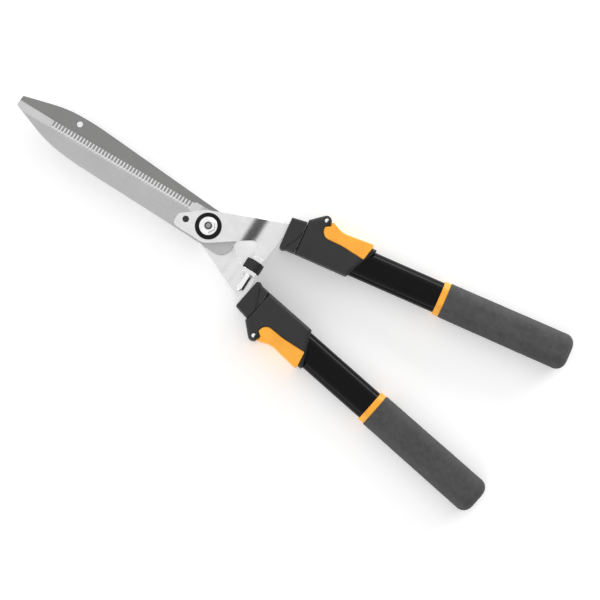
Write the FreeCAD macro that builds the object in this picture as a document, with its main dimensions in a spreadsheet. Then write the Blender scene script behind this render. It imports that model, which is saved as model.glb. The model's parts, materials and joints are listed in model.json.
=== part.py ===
"""Extendable power-lever hedge shears, closed and fully collapsed.

Frame: +X runs from the blade tips to the grips, +Y to the upper handle, +Z up.
The origin is on the main pivot's axis, at the face of the bolt head that the shears rest on.
All sizes are millimetres and live in the Size sheet.
"""
import FreeCAD, Part
import Sketcher
import math
import os

Vector = FreeCAD.Vector
Placement = FreeCAD.Placement
Rotation = FreeCAD.Rotation

SIZES = [
    # whole tool
    ("mid_height", 15.5, "height of the plane between the blades over the rest face"),
    ("handle_angle", 8.9, "angle of each handle to the centre line"),
    ("handle_offset", 29.0, "distance of each handle's axis from the pivot"),
    ("blade_turn", -1.3, "turn of the closed blade pair about the pivot"),
    # blades, measured from the pivot along and across the closed pair
    ("blade_reach", 240.2, "pivot to blade tip"),
    ("blade_thickness", 3.0, "thickness of a blade"),
    ("blade_gap", 0.1, "gap between the two blades"),
    ("tip_rise", 0.9, "cutting edge over the centre line at the tip"),
    ("tip_drop", 5.9, "spine under the centre line at the tip"),
    ("tip_round", 2.2, "rounding of the tip"),
    ("edge_front_x", "=blade_reach - 40.2", "where the cutting edge turns towards the tip"),
    ("edge_front_rise", 2.0, "height of the cutting edge there"),
    ("heel_x", 26.0, "where the cutting edge ends"),
    ("heel_rise", 12.4, "height of the cutting edge at its heel"),
    ("heel_step", 1.9, "step up behind the cutting edge"),
    ("shoulder_rise", 15.8, "height of the blade's shoulder beside the pivot"),
    ("shoulder_x", 4.0, "where the shoulder starts to fall towards the tail"),
    ("belly_x", "=blade_reach - 85.2", "widest place of the blade"),
    ("belly_drop", 23.3, "spine under the centre line at the belly"),
    ("spine_turn_x", "=blade_reach - 49.2", "where the spine turns towards the tip"),
    ("spine_turn_drop", 21.5, "spine under the centre line there"),
    ("tail_reach", 33.6, "tail behind the pivot"),
    ("tail_drop", 18.9, "tail under the centre line"),
    ("tail_rise", 8.0, "tail over the centre line"),
    ("tail_round", 13.0, "rounding of the tail's lower corner"),
    ("spine_turn_round", 150.0, "rounding of the spine at its turn"),
    ("belly_round", 300.0, "rounding of the spine at the belly"),
    ("shoulder_round", 10.0, "rounding of the shoulder"),
    ("edge_round", 400.0, "rounding of the cutting edge at its turn"),
    ("step_run", 1.5, "length and rounding of the heel's step"),
    ("heel_round", 0.6, "rounding of the edge's heel"),
    ("bevel_width", 8.5, "width of the ground bevel"),
    ("bevel_start", 1.0, "start of the bevel behind the heel"),
    ("cutter_room", 2.0, "how far a cutting shape reaches past the metal"),
    ("edge_land", 0.6, "thickness left at the cutting edge"),
    ("groove_radius", 2.2, "radius of an edge groove"),
    ("groove_depth", 0.5, "depth of an edge groove"),
    ("groove_overrun", 1.5, "how far a groove runs past the edge"),
    ("groove_pitch", 3.8, "distance between edge grooves"),
    ("groove_count", "=floor((edge_front_x - groove_start) / groove_pitch) + 1", "edge grooves on a blade"),
    ("groove_start", 29.5, "first groove in front of the pivot"),
    ("hang_x", "=blade_reach - 66.8", "hang hole in front of the pivot"),
    ("hang_drop", 14.2, "hang hole from the centre line"),
    ("hang_radius", 3.175, "radius of the hang hole"),
    # linkage
    ("bolt_radius", 4.0, "radius of the pivot bolt"),
    ("link_x", 23.95, "link pins in front of the pivot"),
    ("link_y", 7.0, "link pins off the blades' centre line"),
    ("link_radius", 3.5, "radius of a link pin"),
    ("link_play", 0.08, "radial play of a link pin in its blade"),
    ("tail_pin_x", 19.0, "blade pin behind the pivot"),
    ("tail_pin_radius", 3.0, "radius of the blade pin"),
    ("tail_pin_room", 1.1, "radial clearance of the blade pin in the rear blade"),
    ("blade_swing", 17.6, "turn of a blade about its link pin over the full opening"),
    # main pivot
    ("bolt_play", 0.05, "radial play on the pivot bolt"),
    ("spacer_radius", "=bolt_radius + 1.5", "radius of the pivot spacer"),
    ("spacer_room", 0.5, "clearance of the spacer in the blades' slots"),
    ("ring_radius", "=bolt_radius + 10.25", "radius of the pivot rings"),
    ("ring_thickness", 2.0, "thickness of the pivot rings"),
    ("flange_radius", "=bolt_radius + 5.65", "radius of the nut's and the bolt head's flange"),
    ("flange_thickness", 1.6, "thickness of that flange"),
    ("hex_width", "=2 * bolt_radius + 5", "width across the flats of nut and head"),
    ("nut_height", 7.6, "height of the nut over its ring"),
    ("bolt_end", 1.4, "bolt standing out of the nut"),
    # tangs
    ("tang_thickness", 4.0, "thickness of a tang"),
    ("tang_gap", 0.05, "gap between a tang and its blade"),
    ("nose_x", 33.8, "front of a tang's nose"),
    ("nose_rise", 5.2, "upper corner of the nose under the centre line"),
    ("hub_drop", 18.0, "lower edge of the hub"),
    ("hub_round", 18.5, "rounding of the hub"),
    ("neck_x", 11.1, "where the nose's slant meets the arm"),
    ("neck_rise", 13.3, "height of that corner"),
    ("crotch_x", 54.0, "inner corner between arm and leg"),
    ("crotch_y", 17.5, "height of that corner"),
    ("hub_tail_x", 5.3, "where the hub's lower edge turns into the arm"),
    ("joggle_start", 38.0, "where the joggle starts"),
    ("joggle_end", 49.5, "where the joggle ends"),
    ("joggle_round", 22.0, "rounding of the joggle's bends"),
    ("leg_left", 57.6, "front edge of the leg"),
    ("leg_right", 69.5, "rear edge of the leg"),
    ("foot_thickness", 4.0, "thickness of the bent foot and tab"),
    ("foot_height", 17.0, "height of the foot over the middle plane"),
    ("foot_y", -4.3, "lower face of the front tang's foot"),
    ("tab_y", 16.0, "seat of the bumper under the centre line"),
    ("tab_front", 55.0, "front edge of the tab"),
    ("tongue_half", 8.0, "half width of the tongue in the tube"),
    ("tongue_end", 124.0, "end of the tongue along the handle"),
    # bumper
    ("bumper_x", 63.0, "bumper's axis behind the pivot"),
    ("bumper_z", 7.5, "bumper's axis over the middle plane"),
    ("bumper_radius", 10.0, "radius of the bumper"),
    ("bumper_rest_gap", 0.3, "gap between foot and bumper when closed"),
    ("stud_radius", 2.5, "radius of the bumper's stud"),
    ("stud_depth", 6.0, "stud inside the rubber"),
    ("stud_tail", 20.0, "stud under the tab"),
    ("washer_radius", 5.3, "radius of the stud's washer"),
    ("washer_thickness", 1.0, "thickness of the stud's washer"),
    ("stud_nut_width", 8.0, "width across the flats of the stud's nut"),
    ("stud_nut_height", 17.0, "height of the stud's long nut"),
    # tubes, stadium sections given by half width and half thickness
    ("grip_end", 405.0, "rear end of the grip"),
    ("tube_half", 16.9, "half width of the outer tube"),
    ("tube_thick", 11.0, "half thickness of the outer tube"),
    ("tube_wall", 1.4, "wall of both tubes"),
    ("tube_gap", 0.8, "gap between the two tubes"),
    ("slide_play", 0.05, "play of the guide bush and glide"),
    ("press_gap", 0.05, "gap of plugs and seats that are glued or pressed"),
    ("outer_tube_start", 122.0, "front end of the outer tube"),
    ("outer_tube_end", "=grip_end - 9", "rear end of the outer tube"),
    ("telescope_travel", "=outer_tube_end - outer_tube_start - 71", "how far each handle pulls out"),
    ("stop_gap", 0.5, "gap between glide and bush at full pull-out"),
    ("bush_sleeve", 15.0, "length of the guide bush in the outer tube"),
    ("bush_flange", 2.0, "flange of the guide bush"),
    ("glide_land", 12.0, "length of the glide's land"),
    ("glide_plug", 14.0, "length of the glide's plug"),
    ("pin_radius", 2.5, "radius of tang pins and lever pin"),
    ("tang_pin_first", 105.0, "first tang pin along the handle"),
    ("tang_pin_second", 117.0, "second tang pin along the handle"),
    # collar
    ("collar_start", 77.5, "front face of the collar"),
    ("collar_end", 94.8, "rear face of the collar"),
    ("collar_outer_front", "=tube_half - 2.1", "outer side of the collar at its front"),
    ("collar_outer_rear", "=tube_half", "outer side of the collar at its rear"),
    ("collar_chin", "=tube_half + 3.8", "depth of the collar's chin"),
    ("collar_thick", "=tube_thick + 3.5", "half thickness of the collar"),
    ("collar_round", 2.5, "rounding of the collar's long edges"),
    ("socket_depth", 10.0, "how deep the inner tube sits in the collar"),
    ("boss_length", 31.2, "collar's boss behind its rear face"),
    ("slot_play", 0.05, "play of the tongue in its slot"),
    ("trim_groove_width", 1.2, "width of the collar's trim groove"),
    ("trim_groove_depth", 1.2, "depth of the collar's trim groove"),
    # clamp housing
    ("seam_gap", 0.3, "gap between collar and housing"),
    ("housing_half", "=tube_half + 2", "half width of the housing"),
    ("housing_thick", "=tube_thick + 4.5", "half thickness of the housing"),
    ("housing_round", 4.5, "rounding of the housing's long edges"),
    ("housing_inner_end", 154.7, "inner end of the housing"),
    ("housing_outer_end", 174.5, "outer end of the housing"),
    ("ear_x", 112.3, "lever pin along the handle"),
    ("ear_y", "=housing_half + 7.2", "lever pin off the handle's axis"),
    ("ear_radius", 5.6, "radius of the ear"),
    ("ear_slope", 38.5, "slope of the ear's front"),
    ("cheek_inside", "=tube_thick - 2.1", "half gap between the ear's cheeks"),
    ("window_half", 6.1, "half length of the shoe's window"),
    ("shoe_gap", 0.1, "play of the shoe in its window"),
    # lever
    ("lever_gap", 0.4, "gap round the lever"),
    ("lever_thick", "=housing_thick - 0.5", "half thickness of the lever"),
    ("lever_flange", 2.5, "thickness of the lever's flanges"),
    ("recess_inside", "=lever_thick - lever_flange - 0.2", "half thickness left under the lever's flanges"),
    ("lever_nose_x", 113.3, "front of the lever's nose"),
    ("lever_inner", "=housing_half - 10.4", "inner edge of the lever at its nose"),
    ("lever_waist_x", 138.0, "lever's waist along the handle"),
    ("lever_waist", "=housing_half - 11.2", "inner edge at the waist"),
    ("lever_end_x", 164.3, "inner corner of the lever's end"),
    ("lever_end", "=housing_half - 15.3", "inner edge at the end"),
    ("lever_tip_x", 169.4, "outer corner of the lever's end"),
    ("lever_tip", "=housing_half + 4", "outer edge at the end"),
    ("lever_saddle_x", 133.0, "lowest place of the outer edge"),
    ("lever_saddle", "=housing_half + 2", "outer edge there"),
    ("lever_crest_x", 119.6, "crest beside the ear"),
    ("lever_crest", "=ear_y + 1.5", "height of the crest"),
    ("lever_web_gap", 0.3, "gap between the lever's web and the housing"),
    ("lever_end_room", 1.3, "room behind the lever's end"),
    ("knuckle_half", "=cheek_inside - 0.3", "half thickness of the knuckle"),
    ("knuckle_radius", 5.2, "radius of the knuckle"),
    ("cam_radius", 4.0, "radius of the cam's lobe"),
    ("cam_offset", 4.0, "lobe's centre from the lever pin"),
    ("cam_lead", 5.0, "turn of the lobe from straight down"),
    ("cam_gap", 0.06, "gap between cam and shoe"),
    ("shoe_half_thick", "=cheek_inside - 0.7", "half thickness of the shoe"),
    ("shoe_skirt", "=tube_half - 5.9", "lower edge of the shoe off the handle's axis"),
    # grip
    ("band_start", "=grip_end - 151.5", "front of the grip band"),
    ("band_length", 7.0, "length of the grip band"),
    ("band_half", "=tube_half + 1.8", "half width of the grip band"),
    ("band_thick", "=tube_thick + 2.2", "half thickness of the grip band"),
    ("grip_front_half", "=tube_half + 2.35", "half width of the grip at its front"),
    ("grip_front_thick", "=tube_thick + 2.8", "half thickness of the grip at its front"),
    ("grip_swell", 0.65, "how much the grip swells towards its end, each side"),
    ("grip_round", 11.0, "rounding of the grip's end"),
    ("plug_length", 12.0, "end plug inside the tube"),
    ("plug_cap", 2.0, "end plug's cap"),
]

doc = FreeCAD.newDocument("hedge_shears")
sheet = doc.addObject("Spreadsheet::Sheet", "Size")
for row, (alias, size, note) in enumerate(SIZES, start=1):
    sheet.set(f"A{row}", note)
    sheet.set(f"B{row}", str(size))
    sheet.setAlias(f"B{row}", alias)
doc.recompute()

ALIASES = {alias for alias, size, note in SIZES}


def sized(text):
    """The same expression with every alias named through the sheet."""
    words = []
    word = ""
    for letter in text + " ":
        if letter.isalnum() or letter == "_":
            word += letter
            continue
        words.append(f"Size.{word}" if word in ALIASES else word)
        words.append(letter)
        word = ""
    return "".join(words).strip()


def number(text):
    """Value of an expression on the sheet's sizes."""
    return float(sheet.evalExpression(sized(text)))


# ---------------------------------------------------------------- places

LIFT = Placement(Vector(0, 0, number("mid_height")), Rotation())
FLIP = Placement(Vector(), Rotation(Vector(1, 0, 0), 180))
TURN = Placement(Vector(), Rotation(Vector(0, 0, 1), number("blade_turn")))
HANDLE = Placement(Vector(), Rotation(Vector(0, 0, 1), number("handle_angle"))) * Placement(
    Vector(0, number("handle_offset"), 0), Rotation())

FRONT_BLADE = LIFT * TURN
REAR_BLADE = LIFT * TURN * FLIP
FRONT_TANG = LIFT
REAR_TANG = LIFT * FLIP
SIDES = {"upper": LIFT * HANDLE, "lower": LIFT * FLIP * HANDLE}

PIECES = []


def new_body(label, place):
    """An empty body at its place in the tool."""
    body = doc.addObject("PartDesign::Body", label)
    body.Label = label
    body.Placement = place
    PIECES.append(body)
    return body


# ---------------------------------------------------------------- sketches

def new_sketch(body, role, lift=None):
    """A sketch on one of the body's own origin planes, moved along its normal by lift if given."""
    plane = next(item for item in body.Origin.OriginFeatures if item.Role == role)
    sketch = body.newObject("Sketcher::SketchObject", "sketch")
    sketch.AttachmentSupport = [(plane, "")]
    sketch.MapMode = "FlatFace"
    if lift is not None:
        sketch.setExpression("AttachmentOffset.Base.z", sized(lift))
    return sketch


def bind(sketch, kind, parts, text):
    """A dimension on the sketch, tied to an expression."""
    index = sketch.addConstraint(Sketcher.Constraint(kind, *parts, number(text)))
    sketch.setExpression(f"Constraints[{index}]", sized(text))


def hold(sketch, geometry, end, x, y):
    """Ties one point of the geometry to its place."""
    bind(sketch, "DistanceX", (-1, 1, geometry, end), x)
    bind(sketch, "DistanceY", (-1, 1, geometry, end), y)


def circle(sketch, x, y, radius):
    centre = Vector(number(x), number(y), 0)
    geometry = sketch.addGeometry(Part.Circle(centre, Vector(0, 0, 1), number(radius)), False)
    hold(sketch, geometry, 3, x, y)
    bind(sketch, "Radius", (geometry,), radius)


def outline(sketch, corners):
    """Closed outline through (x, y) corners, or (x, y, radius) where a corner is rounded."""
    points = [Vector(number(corner[0]), number(corner[1]), 0) for corner in corners]
    radii = [number(corner[2]) if len(corner) > 2 else 0 for corner in corners]
    count = len(corners)
    entries, leaves, turns = [], [], []
    for index, point in enumerate(points):
        come = (point - points[index - 1]).normalize()
        go = (points[(index + 1) % count] - point).normalize()
        turn = math.atan2(come.x * go.y - come.y * go.x, come.dot(go))
        reach = radii[index] * math.tan(abs(turn) / 2)
        entries.append(point - come * reach)
        leaves.append(point + go * reach)
        turns.append(turn)
    lines = []
    for index in range(count):
        end = entries[(index + 1) % count]
        lines.append(sketch.addGeometry(Part.LineSegment(leaves[index], end), False))
    for index, corner in enumerate(corners):
        before, after = lines[index - 1], lines[index]
        if not radii[index]:
            sketch.addConstraint(Sketcher.Constraint("Coincident", before, 2, after, 1))
            hold(sketch, after, 1, corner[0], corner[1])
            continue
        side = 1 if turns[index] > 0 else -1
        come = (entries[index] - leaves[index - 1]).normalize()
        centre = entries[index] + Vector(-come.y, come.x, 0) * side * radii[index]
        first, last = (entries[index], leaves[index]) if side > 0 else (leaves[index], entries[index])
        start = math.atan2(first.y - centre.y, first.x - centre.x)
        stop = math.atan2(last.y - centre.y, last.x - centre.x)
        ring = Part.Circle(centre, Vector(0, 0, 1), radii[index])
        arc = sketch.addGeometry(Part.ArcOfCircle(ring, start, stop), False)
        near, far = (1, 2) if side > 0 else (2, 1)
        sketch.addConstraint(Sketcher.Constraint("Tangent", before, 2, arc, near))
        sketch.addConstraint(Sketcher.Constraint("Tangent", arc, far, after, 1))
        bind(sketch, "Radius", (arc,), corner[2])
        mark = sketch.addGeometry(Part.Point(points[index]), True)
        sketch.addConstraint(Sketcher.Constraint("PointOnObject", mark, 1, before))
        sketch.addConstraint(Sketcher.Constraint("PointOnObject", mark, 1, after))
        hold(sketch, mark, 1, corner[0], corner[1])


def box(sketch, left, right, low, high):
    outline(sketch, [(left, low), (right, low), (right, high), (left, high)])


def stadium(sketch, half, thick):
    """Slot-shaped section about the sketch's origin, by half width and half thickness."""
    reach = number(f"({half}) - ({thick})")
    radius = number(thick)
    ends = []
    for side, start, stop in ((1, -math.pi / 2, math.pi / 2), (-1, math.pi / 2, 3 * math.pi / 2)):
        ring = Part.Circle(Vector(side * reach, 0, 0), Vector(0, 0, 1), radius)
        ends.append(sketch.addGeometry(Part.ArcOfCircle(ring, start, stop), False))
    top = sketch.addGeometry(Part.LineSegment(Vector(reach, radius, 0), Vector(-reach, radius, 0)), False)
    low = sketch.addGeometry(Part.LineSegment(Vector(-reach, -radius, 0), Vector(reach, -radius, 0)), False)
    for first, first_end, second, second_end in (
            (ends[0], 2, top, 1), (top, 2, ends[1], 1), (ends[1], 2, low, 1), (low, 2, ends[0], 1)):
        sketch.addConstraint(Sketcher.Constraint("Tangent", first, first_end, second, second_end))
    for arc, sign in ((ends[0], ""), (ends[1], "-")):
        hold(sketch, arc, 3, f"{sign}(({half}) - ({thick}))", "0")
        bind(sketch, "Radius", (arc,), thick)


def arc_slot(sketch, x, y, radius, half, start, sweep):
    """Slot of half width `half` along an arc about (x, y), from start through sweep degrees."""
    centre = Vector(number(x), number(y), 0)
    middle = number(radius)
    width = number(half)
    first = math.radians(number(start))
    last = math.radians(number(f"({start}) + ({sweep})"))
    axis = Vector(0, 0, 1)
    outer = sketch.addGeometry(Part.ArcOfCircle(Part.Circle(centre, axis, middle + width), first, last), False)
    inner = sketch.addGeometry(Part.ArcOfCircle(Part.Circle(centre, axis, middle - width), first, last), False)
    caps = []
    for angle, turn in ((first, math.pi), (last, 0)):
        spot = centre + Vector(math.cos(angle), math.sin(angle), 0) * middle
        ring = Part.Circle(spot, axis, width)
        caps.append(sketch.addGeometry(Part.ArcOfCircle(ring, angle + turn, angle + turn + math.pi), False))
    for first_arc, first_end, second_arc, second_end in (
            (outer, 2, caps[1], 1), (caps[1], 2, inner, 2), (inner, 1, caps[0], 1), (caps[0], 2, outer, 1)):
        sketch.addConstraint(Sketcher.Constraint("Tangent", first_arc, first_end, second_arc, second_end))
    hold(sketch, outer, 3, x, y)
    hold(sketch, inner, 3, x, y)
    bind(sketch, "Radius", (outer,), f"({radius}) + ({half})")
    bind(sketch, "Radius", (inner,), f"({radius}) - ({half})")
    for cap, angle in ((caps[0], f"({start})"), (caps[1], f"(({start}) + ({sweep}))")):
        bind(sketch, "DistanceY", (-1, 1, cap, 3), f"({y}) + ({radius}) * sin({angle})")


def hexagon(sketch, x, y, flats):
    corner = f"(({flats}) / sqrt(3))"
    outline(sketch, [(f"({x}) + {corner} * cos({60 * step})", f"({y}) + {corner} * sin({60 * step})")
                     for step in range(6)])


# ---------------------------------------------------------------- features

def grow(body, role, low, high, draw, *shape):
    """Adds the drawn shape between two heights along the plane's normal."""
    sketch = new_sketch(body, role, low)
    draw(sketch, *shape)
    pad = body.newObject("PartDesign::Pad", "pad")
    pad.Profile = sketch
    pad.setExpression("Length", sized(f"({high}) - ({low})"))


def cut(body, role, low, high, draw, *shape):
    """Takes the drawn shape away between two heights along the plane's normal."""
    doc.recompute()
    before = body.Shape.Volume
    sketch = new_sketch(body, role, high)
    draw(sketch, *shape)
    pocket = body.newObject("PartDesign::Pocket", "pocket")
    pocket.Profile = sketch
    pocket.setExpression("Length", sized(f"({high}) - ({low})"))
    doc.recompute()
    if not body.Shape.Volume < before:
        raise RuntimeError(f"a pocket in {body.Label} cuts nothing")


def edges_where(body, test):
    """Names of the edges of the body's last shape that pass a test."""
    doc.recompute()
    shape = body.Tip.Shape
    return [f"Edge{index}" for index, edge in enumerate(shape.Edges, start=1) if test(edge)]


def fillet(body, radius, test):
    names = edges_where(body, test)
    if not names:
        raise RuntimeError(f"no edge to round on {body.Label}")
    tip = body.Tip
    feature = body.newObject("PartDesign::Fillet", "fillet")
    feature.Base = (tip, names)
    feature.setExpression("Radius", sized(radius))


def chamfer(body, size, test):
    names = edges_where(body, test)
    if not names:
        raise RuntimeError(f"no edge to chamfer on {body.Label}")
    tip = body.Tip
    feature = body.newObject("PartDesign::Chamfer", "chamfer")
    feature.Base = (tip, names)
    feature.setExpression("Size", sized(size))


def near(value, text):
    return abs(value - number(text)) < 1e-4


def flat_at(edge, axis, text):
    """True for an edge that lies whole in the plane axis = text."""
    bounds = edge.BoundBox
    low, high = {"x": (bounds.XMin, bounds.XMax), "y": (bounds.YMin, bounds.YMax),
                 "z": (bounds.ZMin, bounds.ZMax)}[axis]
    return near(low, text) and near(high, text)


# ---------------------------------------------------------------- blades

def blade(label, place, has_hang_hole):
    """One blade, drawn with its cutting edge towards +Y and its ground face up."""
    body = new_body(label, place)
    low, high = "blade_gap / 2", "blade_gap / 2 + blade_thickness"
    grow(body, "XY_Plane", low, high, outline, [
        ("-blade_reach", "tip_rise", "tip_round"),
        ("-blade_reach", "-tip_drop", "tip_round"),
        ("-spine_turn_x", "-spine_turn_drop", "spine_turn_round"),
        ("-belly_x", "-belly_drop", "belly_round"),
        ("tail_reach", "-tail_drop", "tail_round"),
        ("tail_reach", "tail_rise", "tail_rise - 0.5"),
        ("shoulder_x", "shoulder_rise", "shoulder_round"),
        ("-heel_x + step_run", "heel_rise + heel_step", "step_run"),
        ("-heel_x", "heel_rise", "heel_round"),
        ("-edge_front_x", "edge_front_rise", "edge_round"),
    ])
    cut(body, "XY_Plane", "0", "2 * blade_thickness", arc_slot,
        "-link_x", "-link_y", "sqrt(link_x * link_x + link_y * link_y)",
        "spacer_radius + spacer_room", "atan(link_y / link_x)", "blade_swing * 1 deg")
    cut(body, "XY_Plane", "0", "2 * blade_thickness", circle,
        "-link_x", "-link_y", "link_radius + link_play")
    room = "tail_pin_radius + tail_pin_room" if has_hang_hole else "tail_pin_radius"
    cut(body, "XY_Plane", "0", "2 * blade_thickness", circle, "tail_pin_x", "0", room)
    if has_hang_hole:
        cut(body, "XY_Plane", "0", "2 * blade_thickness", circle, "-hang_x", "-hang_drop", "hang_radius")
    bevel(body)
    serrate(body)
    return body


def edge_slope():
    """Angle of the cutting edge to the blade's centre line, in radians."""
    return math.atan2(number("heel_rise - edge_front_rise"), number("edge_front_x - heel_x"))


def bevel(body):
    """Ground bevel along the cutting edge, from the tip to the heel."""
    sketch = new_sketch(body, "YZ_Plane")
    sketch.AttachmentOffset = Placement(
        Vector(number("heel_rise"), 0, number("-heel_x - bevel_start")),
        Rotation(Vector(0, 1, 0), math.degrees(edge_slope())))
    land = "blade_gap / 2 + edge_land"
    top = "blade_gap / 2 + blade_thickness"
    over = f"{top} + cutter_room"
    outline(sketch, [("0", land), ("bevel_width", land), ("bevel_width", over), ("-bevel_width", over),
                     ("-bevel_width", top)])
    pocket = body.newObject("PartDesign::Pocket", "bevel_cut")
    pocket.Profile = sketch
    pocket.setExpression("Length", sized("blade_reach"))


def serrate(body):
    """Grooves across the bevel, evenly spaced along the cutting edge."""
    slope = edge_slope()
    fall = math.atan2(number("blade_thickness - edge_land"), number("bevel_width"))
    along = Vector(-math.cos(slope), -math.sin(slope), 0)
    across = Vector(-math.sin(slope), math.cos(slope), 0)
    down = across * math.cos(fall) + Vector(0, 0, -math.sin(fall))
    square = down.cross(along)
    out = square if square.z > 0 else square * -1
    start = Vector(number("-heel_x"), number("heel_rise"), number("blade_gap / 2 + edge_land"))
    start += along * number("groove_start - heel_x")
    start += out * number("groove_radius - groove_depth")
    up = down * -1
    sketch = new_sketch(body, "XY_Plane")
    sketch.AttachmentOffset = Placement(
        start + down * number("groove_overrun"), Rotation(along, up.cross(along), up, "XYZ"))
    circle(sketch, "0", "0", "groove_radius")
    pocket = body.newObject("PartDesign::Pocket", "groove")
    pocket.Profile = sketch
    pocket.setExpression("Length", sized("bevel_width + groove_overrun + 1"))
    pocket.Reversed = True
    doc.recompute()
    pattern = body.newObject("PartDesign::LinearPattern", "grooves")
    pattern.Originals = [pocket]
    pattern.Direction = (sketch, ["H_Axis"])
    pattern.setExpression("Length", sized("groove_pitch * (groove_count - 1)"))
    pattern.setExpression("Occurrences", sized("groove_count"))
    body.Tip = pattern


# ---------------------------------------------------------------- tangs

def handle_point(along, off):
    """A place on the upper handle, as expressions in the tool's own frame."""
    across = f"(handle_offset + ({off}))"
    return (f"({along}) * cos(handle_angle) - {across} * sin(handle_angle)",
            f"({along}) * sin(handle_angle) + {across} * cos(handle_angle)")


def tang(label, place, is_front):
    """Bent steel tang: nose, hub, arm with a joggle, leg with a bent foot, and a tongue."""
    body = new_body(label, place)
    inner = "blade_gap / 2 + blade_thickness + tang_gap"
    outer = f"{inner} + tang_thickness"
    half = "tang_thickness / 2"
    grow(body, "XZ_Plane", "-140", "80", outline, [
        ("-nose_x - 5", inner), ("joggle_start", inner, "joggle_round"),
        ("joggle_end", f"-{half}", "joggle_round"),
        ("tongue_end + 20", f"-{half}"), ("tongue_end + 20", half), ("joggle_end", half, "joggle_round"),
        ("joggle_start", outer, "joggle_round"), ("-nose_x - 5", outer)])
    slope = "((crotch_y + hub_drop) / (crotch_x - hub_tail_x))"
    shoulder = handle_point("collar_start - seam_gap", "tongue_half")
    heel = handle_point("collar_start - seam_gap", "-tongue_half")
    if is_front:
        leg = [("leg_right", "foot_y"), ("leg_left", "foot_y"), ("crotch_x", "crotch_y", "6")]
    else:
        leg = [("leg_right + 1", "tab_y"), (f"hub_tail_x + (tab_y + hub_drop) / {slope}", "tab_y")]
    plan = [
        ("-nose_x", "-nose_rise", "5"),
        ("-neck_x", "neck_rise", "hub_round"),
        shoulder,
        handle_point("tongue_end", "tongue_half"),
        handle_point("tongue_end", "-tongue_half"),
        heel,
    ] + leg + [
        ("hub_tail_x", "-hub_drop", "hub_round"),
        ("-nose_x", "-hub_drop", "5"),
    ]

    def around(sketch):
        box(sketch, "-nose_x - 20", "tongue_end + 40", "-100", "160")
        outline(sketch, plan)

    cut(body, "XY_Plane", "-20", "20", around)
    low, high = (f"-{half}", "foot_height") if is_front else ("-foot_height", half)
    if is_front:
        grow(body, "XY_Plane", low, high, box, "leg_left", "leg_right", "foot_y", "foot_y + foot_thickness")
    else:
        grow(body, "XY_Plane", low, high, box, "tab_front", "leg_right + 1", "tab_y", "tab_y + foot_thickness")
        cut(body, "XZ_Plane", "-tab_y - foot_thickness - 1", "-tab_y + 1", circle,
            "bumper_x", "-bumper_z", "stud_radius")
    cut(body, "XY_Plane", "0", "20", circle, "0", "0",
        "bolt_radius + bolt_play" if is_front else "bolt_radius")
    turn = "blade_turn" if is_front else "-blade_turn"
    cut(body, "XY_Plane", "0", "20", circle, f"-link_x * cos({turn}) + link_y * sin({turn})",
        f"-link_x * sin({turn}) - link_y * cos({turn})", "link_radius")
    for along in ("tang_pin_first", "tang_pin_second"):
        cut(body, "XY_Plane", "-10", "10", circle, *handle_point(along, "0"), "pin_radius")
    return body


# ---------------------------------------------------------------- pivot hardware

TANG_FACE = "(blade_gap / 2 + blade_thickness + tang_gap + tang_thickness)"
RING_FACE = f"({TANG_FACE} + ring_thickness)"


def pivot_ring(label, low, high):
    body = new_body(label, LIFT)
    grow(body, "XY_Plane", low, high, circle, "0", "0", "ring_radius")
    cut(body, "XY_Plane", f"({low}) - 1", f"({high}) + 1", circle, "0", "0", "bolt_radius + 0.1")
    chamfer(body, "0.6", lambda edge: edge.Curve.TypeId == "Part::GeomCircle"
            and abs(edge.Curve.Radius - number("ring_radius")) < 1e-3 and edge.Closed)


def pivot_parts():
    pivot_ring("front_pivot_ring", TANG_FACE, RING_FACE)
    pivot_ring("rear_pivot_ring", f"-{RING_FACE}", f"-{TANG_FACE}")

    nut = new_body("pivot_nut", LIFT)
    grow(nut, "XY_Plane", RING_FACE, f"{RING_FACE} + flange_thickness", circle, "0", "0", "flange_radius")
    grow(nut, "XY_Plane", RING_FACE, f"{RING_FACE} + nut_height", hexagon, "0", "0", "hex_width")
    cut(nut, "XY_Plane", "0", "40", circle, "0", "0", "bolt_radius")

    bolt = new_body("pivot_bolt", LIFT)
    grow(bolt, "XY_Plane", "-mid_height", f"-{RING_FACE} - flange_thickness", hexagon, "0", "0", "hex_width")
    grow(bolt, "XY_Plane", f"-{RING_FACE} - flange_thickness", f"-{RING_FACE}", circle,
         "0", "0", "flange_radius")
    grow(bolt, "XY_Plane", f"-{RING_FACE}", f"{RING_FACE} + nut_height + bolt_end", circle,
         "0", "0", "bolt_radius")
    chamfer(bolt, "0.7", lambda edge: flat_at(edge, "z", f"{RING_FACE} + nut_height + bolt_end"))

    spacer = new_body("pivot_spacer", LIFT)
    face = "(blade_gap / 2 + blade_thickness)"
    grow(spacer, "XY_Plane", f"-{face}", face, circle, "0", "0", "spacer_radius")
    cut(spacer, "XY_Plane", "-20", "20", circle, "0", "0", "bolt_radius + bolt_play")


def link_pin(label, place):
    body = new_body(label, place)
    grow(body, "XY_Plane", "blade_gap", TANG_FACE, circle, "-link_x", "-link_y", "link_radius")
    cut(body, "XY_Plane", f"{TANG_FACE} - 0.8", f"{TANG_FACE} + 1", circle,
        "-link_x", "-link_y", "link_radius * 0.55")


def blade_pin():
    body = new_body("blade_pin", FRONT_BLADE)
    face = "(blade_gap / 2 + blade_thickness)"
    grow(body, "XY_Plane", f"-{face}", face, circle, "tail_pin_x", "0", "tail_pin_radius")


# ---------------------------------------------------------------- bumper

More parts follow.
